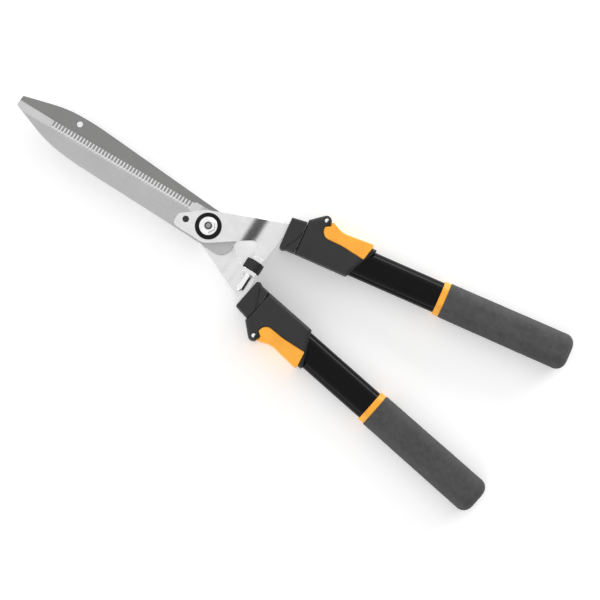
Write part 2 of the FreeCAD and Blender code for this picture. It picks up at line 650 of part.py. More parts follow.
def bumper_parts():
    """Rubber bumper on the rear tang's tab. The XZ plane's normal is -Y."""
    seat = "tab_y"
    top = "(-foot_y + bumper_rest_gap)"
    spot = ("bumper_x", "bumper_z")
    rubber = new_body("bumper", LIFT)
    grow(rubber, "XZ_Plane", top, seat, circle, *spot, "bumper_radius")
    cut(rubber, "XZ_Plane", "tab_y - stud_depth", "tab_y + 1", circle, *spot, "stud_radius")
    fillet(rubber, "1.2", lambda edge: edge.Closed and abs(edge.Curve.Radius - number("bumper_radius")) < 1e-3)

    under = "(tab_y + foot_thickness)"
    stud = new_body("bumper_stud", LIFT)
    grow(stud, "XZ_Plane", "tab_y - stud_depth", f"{under} + stud_tail", circle, *spot, "stud_radius")

    washer = new_body("bumper_washer", LIFT)
    grow(washer, "XZ_Plane", under, f"{under} + washer_thickness", circle, *spot, "washer_radius")
    cut(washer, "XZ_Plane", f"{under} - 1", f"{under} + 5", circle, *spot, "stud_radius")

    nut = new_body("bumper_nut", LIFT)
    face = f"({under} + washer_thickness)"
    grow(nut, "XZ_Plane", face, f"{face} + stud_nut_height", hexagon, *spot, "stud_nut_width")
    cut(nut, "XZ_Plane", f"{face} - 1", f"{face} + stud_nut_height + 1", circle, *spot, "stud_radius")


# ---------------------------------------------------------------- handle

BORE = "(tube_half - tube_wall)", "(tube_thick - tube_wall)"
INNER = "(tube_half - tube_wall - tube_gap)", "(tube_thick - tube_wall - tube_gap)"
INNER_BORE = "(tube_half - 2 * tube_wall - tube_gap)", "(tube_thick - 2 * tube_wall - tube_gap)"
INNER_END = "(outer_tube_start + bush_sleeve + telescope_travel + stop_gap)"


def less(section, gap):
    return f"({section[0]} - {gap})", f"({section[1]} - {gap})"


def more(section, gap):
    return f"({section[0]} + {gap})", f"({section[1]} + {gap})"


def collar(side):
    body = new_body(f"{side}_collar", SIDES[side])
    grow(body, "XY_Plane", "-collar_thick", "collar_thick", outline, [
        ("collar_start", "collar_outer_front", "1.5"),
        ("collar_start", "-collar_chin + 1", "3"),
        ("collar_start + 4", "-collar_chin", "2"),
        ("collar_start + 8", "-housing_half", "2"),
        ("collar_end", "-housing_half"),
        ("collar_end", "collar_outer_rear"),
    ])
    fillet(body, "collar_round", lambda edge: (flat_at(edge, "z", "collar_thick")
                                               or flat_at(edge, "z", "-collar_thick"))
           and not flat_at(edge, "x", "collar_end") and not flat_at(edge, "x", "collar_start"))
    cut(body, "YZ_Plane", "collar_end - socket_depth", "collar_end + 1", stadium, *INNER)
    grow(body, "YZ_Plane", "collar_end - socket_depth", "collar_end + boss_length", stadium,
         *less(INNER_BORE, "press_gap"))
    cut(body, "XY_Plane", "-tang_thickness / 2 - slot_play", "tang_thickness / 2 + slot_play", box,
        "collar_start - 1", "collar_end + boss_length + 1",
        "-tongue_half - slot_play", "tongue_half + slot_play")
    for along in ("tang_pin_first", "tang_pin_second"):
        cut(body, "XY_Plane", "-20", "20", circle, along, "0", "pin_radius")
    for low, high in (("collar_thick - trim_groove_depth", "collar_thick + 1"),
                      ("-collar_thick - 1", "-collar_thick + trim_groove_depth")):
        cut(body, "XY_Plane", low, high, arc_slot, "collar_end - 68.2", "27", "71.7",
            "trim_groove_width / 2", "-36.3 deg", "16.4 deg")


def tube(label, side, start, end, outer, bore):
    body = new_body(label, SIDES[side])
    grow(body, "YZ_Plane", start, end, stadium, *outer)
    cut(body, "YZ_Plane", f"({start}) - 1", f"({end}) + 1", stadium, *bore)
    return body


def inner_tube(side):
    body = tube(f"{side}_inner_tube", side, "collar_end - socket_depth", INNER_END, INNER, INNER_BORE)
    for along in ("tang_pin_first", "tang_pin_second"):
        cut(body, "XY_Plane", "-20", "20", circle, along, "0", "pin_radius")


def tang_pins(side):
    """Two pins through inner tube, collar and tongue."""
    pins = []
    for along in ("tang_pin_first", "tang_pin_second"):
        pin = doc.addObject("Part::Cylinder", "pin")
        pin.setExpression("Radius", sized("pin_radius"))
        pin.setExpression("Height", sized(f"2 * {INNER[1]}"))
        pin.setExpression("Placement.Base.x", sized(along))
        pin.setExpression("Placement.Base.z", sized(f"-{INNER[1]}"))
        pins.append(pin)
    pair = doc.addObject("Part::Compound", f"{side}_tang_pins")
    pair.Links = pins
    pair.Label = f"{side}_tang_pins"
    pair.Placement = SIDES[side]
    PIECES.append(pair)


def tube_glide(side):
    """Plug with a land on the inner tube's end: it slides in the outer tube and stops at the bush."""
    body = new_body(f"{side}_tube_glide", SIDES[side])
    grow(body, "YZ_Plane", f"{INNER_END} - glide_plug", INNER_END, stadium, *less(INNER_BORE, "press_gap"))
    grow(body, "YZ_Plane", INNER_END, f"{INNER_END} + glide_land", stadium, *less(BORE, "2 * slide_play"))
    cut(body, "YZ_Plane", f"{INNER_END} - glide_plug - 1", f"{INNER_END} + glide_land + 1", stadium,
        *less(INNER_BORE, "3"))


def guide_bush(side):
    body = new_body(f"{side}_guide_bush", SIDES[side])
    grow(body, "YZ_Plane", "outer_tube_start - bush_flange", "outer_tube_start", stadium,
         "tube_half", "tube_thick")
    grow(body, "YZ_Plane", "outer_tube_start", "outer_tube_start + bush_sleeve", stadium,
         *less(BORE, "press_gap"))
    cut(body, "YZ_Plane", "outer_tube_start - 10", "outer_tube_start + bush_sleeve + 1", stadium,
        *more(INNER, "slide_play"))


def clamp_housing(side):
    """Moulded housing on the outer tube's front end, with an ear for the lever's pin."""
    body = new_body(f"{side}_clamp_housing", SIDES[side])
    front = "(collar_end + seam_gap)"
    top = "(ear_y + ear_radius)"
    slope_x = "(ear_x - ear_radius * sin(ear_slope))"
    slope_y = "(ear_y + ear_radius * cos(ear_slope))"
    grow(body, "XY_Plane", "-housing_thick", "housing_thick", outline, [
        (front, "-housing_half", "0.6"),
        ("housing_inner_end", "-housing_half", "1.5"),
        ("housing_inner_end + 4.5", "-9", "20"),
        ("housing_outer_end", "housing_half", "1.5"),
        ("ear_x + ear_radius", "housing_half", "0.5"),
        ("ear_x + ear_radius", top, "ear_radius - 0.05"),
        (f"{slope_x} + ({top} - {slope_y}) / tan(ear_slope)", top, "ear_radius - 0.05"),
        (front, f"{slope_y} - ({slope_x} - {front}) * tan(ear_slope)", "1"),
    ])
    fillet(body, "housing_round", lambda edge: (flat_at(edge, "z", "housing_thick")
                                                or flat_at(edge, "z", "-housing_thick"))
           and flat_at(edge, "y", "-housing_half"))
    cut(body, "YZ_Plane", f"{front} - 1", "outer_tube_start", stadium, *more(INNER, "0.3"))
    cut(body, "YZ_Plane", "outer_tube_start - bush_flange", "housing_outer_end + 1", stadium,
        *more(("tube_half", "tube_thick"), "press_gap"))
    recess = [
        ("ear_x + ear_radius + 0.4", "housing_half + 40"),
        ("ear_x + ear_radius + 0.2", "ear_y - 3.4"),
        ("lever_nose_x - lever_gap - 0.4", "ear_y - 5.8"),
        ("lever_nose_x - lever_gap", "lever_inner - lever_gap", "9 + lever_gap"),
        ("lever_waist_x", "lever_waist - lever_gap", "60"),
        ("lever_end_x + lever_end_room", "lever_end - lever_gap", "2"),
        ("lever_tip_x + lever_end_room", "lever_tip"),
        ("lever_tip_x + lever_end_room", "housing_half + 40"),
    ]
    cut(body, "XY_Plane", "recess_inside", "housing_thick + 1", outline, recess)
    cut(body, "XY_Plane", "-housing_thick - 1", "-recess_inside", outline, recess)
    cut(body, "XY_Plane", "-cheek_inside", "cheek_inside", box, "ear_x - 6.8", "ear_x + 14",
        "housing_half - 1", "ear_y + 20")
    cut(body, "XY_Plane", "-shoe_half_thick - shoe_gap", "shoe_half_thick + shoe_gap", box,
        "ear_x - window_half", "ear_x + window_half", "4", "ear_y")
    cut(body, "XY_Plane", "-40", "40", circle, "ear_x", "ear_y", "pin_radius")


def lever_pin(side):
    body = new_body(f"{side}_lever_pin", SIDES[side])
    grow(body, "XY_Plane", "-housing_thick", "housing_thick", circle, "ear_x", "ear_y", "pin_radius")


def lock_lever(side):
    """Channel-shaped lever that lies on the housing, with a knuckle and a cam between the cheeks."""
    body = new_body(f"{side}_lock_lever", SIDES[side])
    grow(body, "XY_Plane", "-lever_thick", "lever_thick", outline, [
        ("lever_nose_x", "lever_inner", "9"),
        ("lever_waist_x", "lever_waist", "60"),
        ("lever_end_x", "lever_end", "2"),
        ("lever_tip_x", "lever_tip", "2.5"),
        ("lever_saddle_x", "lever_saddle", "25"),
        ("lever_crest_x", "lever_crest", "1.2"),
        ("ear_x + 6.4", "ear_y - 4", "1"),
        ("lever_nose_x", "ear_y - 6.6", "1"),
    ])
    fillet(body, "0.9", lambda edge: flat_at(edge, "z", "lever_thick") or flat_at(edge, "z", "-lever_thick"))
    cut(body, "XY_Plane", "-lever_thick + lever_flange", "lever_thick - lever_flange", box,
        "lever_nose_x - 5", "lever_tip_x + 5", "-5", "housing_half + lever_web_gap")
    web = "(lever_thick - lever_flange)"
    for low, high in ((f"-{web}", "-cheek_inside + lever_gap"), ("cheek_inside - lever_gap", web)):
        cut(body, "XY_Plane", low, high, box, "lever_nose_x - 5", "ear_x + ear_radius + 1",
            "lever_inner", "lever_crest + 5")
    knuckle = ("-knuckle_half", "knuckle_half")
    grow(body, "XY_Plane", *knuckle, circle, "ear_x", "ear_y", "knuckle_radius")
    grow(body, "XY_Plane", *knuckle, circle, "ear_x + cam_offset * sin(cam_lead)",
         "ear_y - cam_offset * cos(cam_lead)", "cam_radius")
    grow(body, "XY_Plane", *knuckle, outline, [
        ("ear_x + 0.5", "ear_y - cam_offset - 3.6"),
        ("ear_x + 9", "housing_half + lever_web_gap"),
        ("lever_crest_x + 2", "lever_crest - 3"),
        ("ear_x + 0.5", "ear_y + knuckle_radius - 0.1"),
    ])
    cut(body, "XY_Plane", "-40", "40", circle, "ear_x", "ear_y", "pin_radius + slide_play")


def clamp_shoe(side):
    """Shoe that the cam presses on the inner tube."""
    body = new_body(f"{side}_clamp_shoe", SIDES[side])
    reach = "(cam_radius + cam_offset * cos(cam_lead))"
    grow(body, "XY_Plane", "-shoe_half_thick", "shoe_half_thick", box,
         "ear_x - window_half + shoe_gap", "ear_x + window_half - shoe_gap",
         "shoe_skirt", f"ear_y - {reach} - cam_gap")
    cut(body, "YZ_Plane", "ear_x - 20", "ear_x + 20", stadium, *more(INNER, "slide_play"))


def grip_band(side):
    tube(f"{side}_grip_band", side, "band_start", "band_start + band_length",
         ("band_half", "band_thick"), more(("tube_half", "tube_thick"), "press_gap"))


def grip(side):
    """Soft grip: tapered sleeve with a closed, rounded end."""
    body = new_body(f"{side}_grip", SIDES[side])
    start = "(band_start + band_length)"
    grow(body, "YZ_Plane", start, "grip_end", stadium, "grip_front_half", "grip_front_thick")
    body.Tip.setExpression("TaperAngle", sized(f"atan(grip_swell / (grip_end - {start}))"))
    fillet(body, "grip_round", lambda edge: flat_at(edge, "x", "grip_end"))
    cut(body, "YZ_Plane", f"{start} - 1", "outer_tube_end + plug_cap", stadium,
        *more(("tube_half", "tube_thick"), "press_gap"))


def end_plug(side):
    body = new_body(f"{side}_end_plug", SIDES[side])
    grow(body, "YZ_Plane", "outer_tube_end - plug_length", "outer_tube_end", stadium,
         *less(BORE, "press_gap"))
    grow(body, "YZ_Plane", "outer_tube_end", "outer_tube_end + plug_cap", stadium,
         "tube_half", "tube_thick")


# ---------------------------------------------------------------- build

blade("front_blade", FRONT_BLADE, False)
blade("rear_blade", REAR_BLADE, True)
blade_pin()
tang("front_tang", FRONT_TANG, True)
tang("rear_tang", REAR_TANG, False)
pivot_parts()
link_pin("front_link_pin", FRONT_BLADE)
link_pin("rear_link_pin", REAR_BLADE)
bumper_parts()
for name in SIDES:
    collar(name)
    inner_tube(name)
    tang_pins(name)
    tube_glide(name)
    tube(f"{name}_outer_tube", name, "outer_tube_start", "outer_tube_end",
         ("tube_half", "tube_thick"), BORE)
    guide_bush(name)
    clamp_housing(name)
    lever_pin(name)
    lock_lever(name)
    clamp_shoe(name)
    grip_band(name)
    grip(name)
    end_plug(name)
doc.recompute()

faults = [f"{item.Label}: {item.State}" for item in doc.Objects
          if "Invalid" in item.State or "Error" in item.State]
for piece in PIECES:
    if piece.Shape.isNull() or not piece.Shape.isValid():
        faults.append(f"{piece.Label}: bad shape")
if faults:
    raise RuntimeError("; ".join(faults))

os.makedirs("parts", exist_ok=True)
for piece in PIECES:
    piece.Shape.exportStep(f"parts/{piece.Label}.step")
    print(piece.Label, round(piece.Shape.Volume), len(piece.Shape.Solids))
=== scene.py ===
"""Extendable hedge shears: finishes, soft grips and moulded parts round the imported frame."""
import json
import math

import bmesh
import bpy
from bpy.props import FloatProperty, FloatVectorProperty, IntProperty, PointerProperty
from mathutils import Matrix, Vector


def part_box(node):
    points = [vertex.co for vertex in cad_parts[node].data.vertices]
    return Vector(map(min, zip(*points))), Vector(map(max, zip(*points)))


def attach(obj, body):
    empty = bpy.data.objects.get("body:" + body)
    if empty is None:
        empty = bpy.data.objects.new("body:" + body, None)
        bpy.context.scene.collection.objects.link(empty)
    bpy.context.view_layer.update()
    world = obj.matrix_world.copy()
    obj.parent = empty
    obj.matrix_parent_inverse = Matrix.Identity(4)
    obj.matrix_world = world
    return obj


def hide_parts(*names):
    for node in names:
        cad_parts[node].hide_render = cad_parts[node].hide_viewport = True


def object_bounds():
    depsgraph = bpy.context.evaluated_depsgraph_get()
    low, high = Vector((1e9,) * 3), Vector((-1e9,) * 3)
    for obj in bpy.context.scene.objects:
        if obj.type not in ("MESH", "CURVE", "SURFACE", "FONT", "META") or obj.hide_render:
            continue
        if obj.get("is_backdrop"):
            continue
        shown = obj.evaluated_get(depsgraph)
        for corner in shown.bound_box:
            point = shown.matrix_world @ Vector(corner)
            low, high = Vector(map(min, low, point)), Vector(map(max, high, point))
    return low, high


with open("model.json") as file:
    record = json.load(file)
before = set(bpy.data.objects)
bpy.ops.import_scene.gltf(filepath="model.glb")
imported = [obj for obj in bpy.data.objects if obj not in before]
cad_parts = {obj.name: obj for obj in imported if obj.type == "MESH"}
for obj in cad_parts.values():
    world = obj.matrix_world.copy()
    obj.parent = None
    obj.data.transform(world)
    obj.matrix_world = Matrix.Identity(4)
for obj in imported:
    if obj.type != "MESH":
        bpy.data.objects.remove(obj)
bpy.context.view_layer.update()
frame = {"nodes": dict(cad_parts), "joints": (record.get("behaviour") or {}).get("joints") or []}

bl_info = {
    "name": "Hedge shears",
    "version": (1, 0, 0),
    "blender": (4, 5, 0),
    "location": "View3D > Sidebar > Shears",
    "description": "Builds the visible pieces and finishes of a pair of hedge shears",
    "category": "Object",
}

NODES = frame["nodes"]
JOINTS = {joint["name"]: joint for joint in frame["joints"]}
SIDES = ("upper", "lower")

# The blades' turn about the pivot, and where a cutting edge starts and how it leans
BLADE_TURN = math.radians(-1.3)
EDGE_HEEL = Vector((-0.026, 0.0124))
EDGE_SLOPE = math.radians(3.42)

# Ground bars across a cutting edge, and painted shade in the grooves between them: where each
# fades in, in metres along or across the edge.
# Their share is the part of the bars' cosine wave over which a bar turns into painted shade in a
# groove.
BAR_PITCH = 0.0038
FIRST_GROOVE = 0.0035
GROOVE_SHADE_SHARE = (-0.35, 0.25)
GROOVE_SHADE_FOOT = (-0.0064, -0.0052)
BAND_FOOT = (-0.0078, -0.007)
COMB_START = (0.0014, 0.002)
COMB_END = (0.1728, 0.1722)
HEEL_START = (-0.012, -0.008)
HEEL_END = (0.0019, 0.0013)
HEEL_FOOT = (-0.0095, -0.0085)

# Radii between which the pivot bolt's end goes from its centre to a dark ring, and to bright again
BOLT_CENTRE = (0.0014, 0.0022)
BOLT_RING_START = (0.0016, 0.0024)
BOLT_RING_END = (0.0056, 0.005)
BOLT_RING_COLOUR = (0.07, 0.07, 0.072)
BOLT_TURNING_PITCH = 0.0007

# Meshing: merge distances, and the angles that count as flat, sharp and creased
WELD_DISTANCE = 2e-6
SEAM_DISTANCE = 5e-6
FLAT_ANGLE = math.radians(0.3)
SHARP_ANGLE = math.radians(24)
CREASE_ANGLE = math.radians(35)
FINE_STEPS = 2

# Stage: the floor, each light's place and watts, the black card, and the camera
FLOOR_REACH = 4.0
FLOOR_GAP = 0.0002
LIGHT_SIZE = (1.6, 0.35)
LIGHTS = {"upper_side": ((0.35, 1.5, 0.5), 18), "lower_side": ((0.1, -1.5, 0.5), 5)}
CARD_DIRECTION = (0.883, 0.0, 0.469)
CARD_EDGE = (0.62, 0.84)
CARD_DARKNESS = 0.97
CAMERA_LENS = 170
CAMERA_SENSOR = 36
CAMERA_DISTANCE = 3.0
CAMERA_REACH = 20
CAMERA_TILT = math.radians(3)
CAMERA_ROLL = math.radians(32.6)
CAMERA_TARGET = Vector((0.1237, -0.0133, 0.0155))


# ---------------------------------------------------------------------------------------------
# Places read from the frame

def handle_frame(side):
    """Matrix from a handle's own frame (along, outwards, across) to the shears' frame."""
    low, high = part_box(f"{side}_outer_tube")
    along = Vector(JOINTS[f"{side}_telescope"]["axis"])
    outward = Vector((-along.y, along.x, 0))
    if side == "lower":
        outward.negate()
    across = along.cross(outward)
    turn = Matrix((along, outward, across)).transposed().to_4x4()
    return Matrix.Translation((low + high) / 2) @ turn


def extent(node, place):
    """Lowest and highest corner of a CAD node in the frame that place leads from."""
    back = place.inverted()
    points = [back @ vertex.co for vertex in NODES[node].data.vertices]
    low = Vector([min(point[i] for point in points) for i in range(3)])
    high = Vector([max(point[i] for point in points) for i in range(3)])
    return low, high


# ---------------------------------------------------------------------------------------------
# Node trees

class Wire:
    """A socket whose arithmetic adds Math nodes to its tree."""

    def __init__(self, net, socket):
        self.net = net
        self.socket = socket

    def maths(self, operation, *values):
        settings = {"operation": operation}
        return self.net.node("ShaderNodeMath", settings, dict(enumerate(values)))

    def __add__(self, other):
        return self.maths("ADD", self, other)

    def __radd__(self, other):
        return self.maths("ADD", other, self)

    def __sub__(self, other):
        return self.maths("SUBTRACT", self, other)

    def __rsub__(self, other):
        return self.maths("SUBTRACT", other, self)

    def __mul__(self, other):
        return self.maths("MULTIPLY", self, other)

    def __truediv__(self, other):
        return self.maths("DIVIDE", self, other)

    def __abs__(self):
        return self.maths("ABSOLUTE", self)

    def sin(self):
        return self.maths("SINE", self)

    def cos(self):
        return self.maths("COSINE", self)

    def root(self):
        return self.maths("SQRT", self)

    def sign(self):
        return self.maths("SIGN", self)

    def fraction(self):
        return self.maths("FRACT", self)

    def least(self, other):
        return self.maths("MINIMUM", self, other)

    def most(self, other):
        return self.maths("MAXIMUM", self, other)

    def ramp(self, start, end, low=0.0, high=1.0, smooth=False):
        """This value carried from start..end to low..high, and held there outside."""
        settings = {"interpolation_type": "SMOOTHSTEP" if smooth else "LINEAR", "clamp": True}
        return self.net.node("ShaderNodeMapRange", settings,
                             {"Value": self, 1: start, 2: end, 3: low, 4: high})

    def parts(self):
        """The three numbers of a vector."""
        split = self.net.node("ShaderNodeSeparateXYZ", {}, {0: self})
        outputs = split.socket.node.outputs
        return [Wire(self.net, outputs[i]) for i in range(3)]


class Net:
    """A node tree and the one method that adds nodes to it."""

    def __init__(self, tree):
        self.tree = tree

    def node(self, kind, settings=None, sockets=None, out=0):
        made = self.tree.nodes.new(kind)
        for key, value in (settings or {}).items():
            setattr(made, key, value)
        for key, value in (sockets or {}).items():
            if isinstance(value, Wire):
                self.tree.links.new(value.socket, made.inputs[key])
            else:
                made.inputs[key].default_value = value
        return Wire(self, made.outputs[out]) if len(made.outputs) else None

    def vector(self, x, y, z):
        return self.node("ShaderNodeCombineXYZ", {}, {0: x, 1: y, 2: z})


class Shape(Net):
    """A geometry node tree with named inputs."""

    def __init__(self, name, inputs):
        tree = bpy.data.node_groups.new(name, "GeometryNodeTree")
        super().__init__(tree)
        kinds = {"Finish": "NodeSocketMaterial", "Count": "NodeSocketInt"}
        for label, default in inputs.items():
            made = tree.interface.new_socket(label, in_out="INPUT",
                                             socket_type=kinds.get(label, "NodeSocketFloat"))
            if default is not None:
                made.default_value = default
        tree.interface.new_socket("Geometry", in_out="OUTPUT",
                                  socket_type="NodeSocketGeometry")
        source = tree.nodes.new("NodeGroupInput")
        self.inputs = {label: Wire(self, source.outputs[label]) for label in inputs}

    def lattice(self, rows, columns):
        """A grid whose point positions run 0 to rows - 1 and 0 to columns - 1."""
        grid = self.node("GeometryNodeMeshGrid", {},
                         {0: rows - 1, 1: columns - 1, 2: rows, 3: columns})
        x, y, _ = self.node("GeometryNodeInputPosition").parts()
        return grid, x + (rows - 1) / 2, y + (columns - 1) / 2

    def placed(self, geometry, position):
        return self.node("GeometryNodeSetPosition", {},
                         {"Geometry": geometry, "Position": position})

    def finished(self, geometry):
        """Merges the seams and poles, sets smooth faces and the finish, and ends the tree."""
        whole = self.node("GeometryNodeRealizeInstances", {}, {0: geometry})
        sealed = self.node("GeometryNodeMergeByDistance", {},
                           {"Geometry": whole, "Distance": SEAM_DISTANCE})
        smooth = self.node("GeometryNodeSetShadeSmooth", {}, {"Geometry": sealed})
        painted = self.node("GeometryNodeSetMaterial", {},
                            {"Geometry": smooth, "Material": self.inputs["Finish"]})
        self.node("NodeGroupOutput", {}, {0: painted})
        return self.tree


def linked(name, mesh):
    piece = bpy.data.objects.new(name, mesh)
    bpy.context.scene.collection.objects.link(piece)
    return piece


def evaluated_mesh(piece):
    bpy.context.view_layer.update()
    source = piece.evaluated_get(bpy.context.evaluated_depsgraph_get())
    return bpy.data.meshes.new_from_object(source)


def grown(name, tree, values, place):
    """A plain mesh piece that a geometry tree makes from the values, put at place."""
    piece = linked(name, bpy.data.meshes.new(name))
    modifier = piece.modifiers.new("shape", "NODES")
    modifier.node_group = tree
    for item in tree.interface.items_tree:
        if item.in_out == "INPUT" and item.name in values:
            modifier[item.identifier] = values[item.name]
    mesh = evaluated_mesh(piece)
    piece.modifiers.remove(modifier)
    mesh.transform(place)
    mesh.name = name
    piece.data = mesh
    face_outwards(mesh)
    mesh.set_sharp_from_angle(angle=CREASE_ANGLE)
    return piece


def face_outwards(mesh):
    """Turns a closed mesh's faces outwards."""
    work = bmesh.new()
    work.from_mesh(mesh)
    if work.calc_volume(signed=True) < 0:
        bmesh.ops.reverse_faces(work, faces=work.faces)
        work.to_mesh(mesh)
    work.free()


def rounded(name, node, width, steps, finish):
    """A copy of a CAD node's mesh with its sharp edges rounded, and its flat faces shaded flat."""
    work = bmesh.new()
    work.from_mesh(NODES[node].data)
    bmesh.ops.remove_doubles(work, verts=work.verts, dist=WELD_DISTANCE)
    bmesh.ops.dissolve_limit(work, angle_limit=FLAT_ANGLE, verts=work.verts, edges=work.edges,
                             use_dissolve_boundaries=False, delimit={"NORMAL"})
    sharp = [edge for edge in work.edges
             if edge.is_manifold and edge.calc_face_angle(0) > SHARP_ANGLE]
    bmesh.ops.bevel(work, geom=sharp, offset=width, segments=steps, profile=0.5,
                    affect="EDGES", clamp_overlap=True)
    mesh = bpy.data.meshes.new(name)
    for face in work.faces:
        face.smooth = True
    work.to_mesh(mesh)
    work.free()
    piece = linked(name, mesh)
    weigh = piece.modifiers.new("weigh", "WEIGHTED_NORMAL")
    weigh.weight = 90
    weigh.keep_sharp = False
    piece.data = evaluated_mesh(piece)
    piece.modifiers.remove(weigh)
    piece.data.name = name
    piece.data.materials.clear()
    piece.data.materials.append(finish)
    return piece


# ---------------------------------------------------------------------------------------------
# Finishes

class Finish(Net):
    """A material built on one Principled shader."""

    def __init__(self, name):
        self.material = bpy.data.materials.new(name)
        self.material.use_nodes = True
        super().__init__(self.material.node_tree)
        self.tree.nodes.clear()
        self.place = self.node("ShaderNodeTexCoord", out="Object")
        self.facing = Wire(self, self.place.socket.node.outputs["Normal"])

    def distance(self, direction):
        """How far a place lies along a direction from the origin."""
        return self.node("ShaderNodeVectorMath", {"operation": "DOT_PRODUCT"},
                         {0: self.place, 1: direction}, out="Value")

    def spots(self, size, detail=3.0, roughness=0.5, stretch=(1, 1, 1), turn=0.0):
        """Noise from 0 to 1: features of that size in metres, longer along stretched axes."""
        moved = self.node("ShaderNodeMapping", {"vector_type": "POINT"},
                          {"Vector": self.place, "Rotation": (0, 0, turn),
                           "Scale": tuple(1 / (size * part) for part in stretch)})
        return self.node("ShaderNodeTexNoise", {},
                         {"Vector": moved, "Scale": 1.0, "Detail": detail,
                          "Roughness": roughness})

    def cells(self, size):
        """Distance from the middle of the nearest cell, for cells of about that size in metres."""
        moved = self.node("ShaderNodeMapping", {"vector_type": "POINT"},
                          {"Vector": self.place, "Scale": (1 / size,) * 3})
        return self.node("ShaderNodeTexVoronoi", {"feature": "F1"},
                         {"Vector": moved, "Scale": 1.0})

    def edges(self, radius):
        """0 on a flat, rising towards 1 on a sharp edge."""
        soft = self.node("ShaderNodeBevel", {"samples": 4}, {"Radius": radius})
        hard = self.node("ShaderNodeNewGeometry", out="Normal")
        along = self.node("ShaderNodeVectorMath", {"operation": "DOT_PRODUCT"},
                          {0: soft, 1: hard}, out="Value")
        return (1 - along).ramp(0.004, 0.2)

    def mixed(self, factor, first, second):
        """Two colours mixed. A colour may be a wire or three numbers."""
        pair = [value if isinstance(value, Wire) else (*value, 1.0) for value in (first, second)]
        return self.node("ShaderNodeMix", {"data_type": "RGBA", "blend_type": "MIX"},
                         {0: factor, 6: pair[0], 7: pair[1]}, out=2)

    def bump(self, height, depth):
        return self.node("ShaderNodeBump", {},
                         {"Height": height, "Strength": 1.0, "Distance": depth})

    def done(self, **sockets):
        """Ends the tree with the shader and gives the material."""
        named = {key.replace("_", " "): value for key, value in sockets.items()}
        surface = self.node("ShaderNodeBsdfPrincipled", {}, named)
        self.node("ShaderNodeOutputMaterial", {}, {"Surface": surface})
        return self.material


def shade(colour, factor):
    return tuple(min(1.0, part * factor) for part in colour)


def along_edge(finish, side):
    """Distances from the cutting edge's heel: towards the tip, and out past the edge."""
    slope = EDGE_SLOPE + side * BLADE_TURN
    forward = (-math.cos(slope), -side * math.sin(slope), 0)
    outward = (-math.sin(slope), side * math.cos(slope), 0)
    turn = Matrix.Rotation(-EDGE_SLOPE, 2)
    start = turn @ EDGE_HEEL
    return finish.distance(forward) + start.x, finish.distance(outward) - start.y


def ground_steel(name, colour, bar_colour, groove_shade_colour, roughness, side):
    """Satin blade steel: speckle, lengthwise grinding lines, bars ground across its edge with
    painted shade in the grooves between them, and a painted highlight along its edges.
    """
    finish = Finish(name)
    speckle = finish.spots(0.0007, detail=2.0, roughness=0.7)
    lines = finish.spots(0.0006, detail=2.0, stretch=(60, 1, 1), turn=-BLADE_TURN)
    clouds = finish.spots(0.03, detail=3.0)
    tone = (speckle * 0.5 + lines * 0.3 + clouds * 0.2).ramp(0.3, 0.7)
    flat = finish.mixed(tone, shade(colour, 0.84), shade(colour, 1.14))
    bright = finish.mixed(tone, shade(bar_colour, 0.92), shade(bar_colour, 1.06))

    run, rise = along_edge(finish, side)
    outer = (finish.facing.parts()[2] * side).ramp(0.2, 0.5)
    comb = run.ramp(*COMB_START) * run.ramp(*COMB_END) * outer
    wave = ((run - FIRST_GROOVE) * (2 * math.pi / BAR_PITCH)).cos()
    # Painted shade: the grooves between the bars are coloured dark, as the shade that falls in
    # them.
    groove_shade = wave.ramp(*GROOVE_SHADE_SHARE) * rise.ramp(*GROOVE_SHADE_FOOT) * comb
    band = rise.ramp(*BAND_FOOT) * comb
    heel = run.ramp(*HEEL_END) * run.ramp(*HEEL_START) * rise.ramp(*HEEL_FOOT) * outer
    barred = finish.mixed(band.most(heel), flat, bright)
    whole = finish.mixed(groove_shade, barred, groove_shade_colour)
    # Painted highlight: the edges are lightened towards the bar colour.
    edge_highlit = finish.mixed(finish.edges(0.0004) * 0.4, whole, shade(bar_colour, 1.1))
    return finish.done(
        Base_Color=edge_highlit, Metallic=0.9,
        Roughness=(roughness - band * 0.05) + (lines - 0.5) * 0.16,
        Normal=finish.bump(lines * 0.6 + speckle * 0.4, 0.00002))


def plated_steel(name, colour, roughness, grain=0.5):
    """Bright plated steel with soft clouds, rolling grain and a painted highlight along its edges.
    """
    finish = Finish(name)
    clouds = finish.spots(0.012, detail=4.0)
    grains = finish.spots(0.0005, detail=2.0, stretch=(30, 1, 1))
    tone = clouds * 0.7 + grains * 0.3
    base = finish.mixed(tone.ramp(0.3, 0.7), shade(colour, 0.92), shade(colour, 1.06))
    # Painted highlight: the edges are lightened to 1.2 times the colour.
    bright = finish.mixed(finish.edges(0.0006) * 0.6, base, shade(colour, 1.2))
    return finish.done(
        Base_Color=bright, Metallic=0.95,
        Roughness=roughness + (tone - 0.5) * 0.14,
        Normal=finish.bump(grains, 0.00002 * grain))


def turned_steel(name, colour, roughness):
    """Plated fastener with turning rings round its own axis, slight tarnish and a painted
    highlight along its edges.
    """
    finish = Finish(name)
    tarnish = finish.spots(0.002, detail=4.0)
    rings = finish.spots(0.0002, detail=1.0, stretch=(4, 4, 1))
    base = finish.mixed(tarnish.ramp(0.35, 0.7), shade(colour, 0.92), shade(colour, 1.1))
    # Painted highlight: the edges are lightened to 1.3 times the colour.
    bright = finish.mixed(finish.edges(0.0004) * 0.6, base, shade(colour, 1.3))
    return finish.done(
        Base_Color=bright, Metallic=1.0,
        Roughness=roughness + tarnish * 0.08,
        Normal=finish.bump(rings, 0.00001))


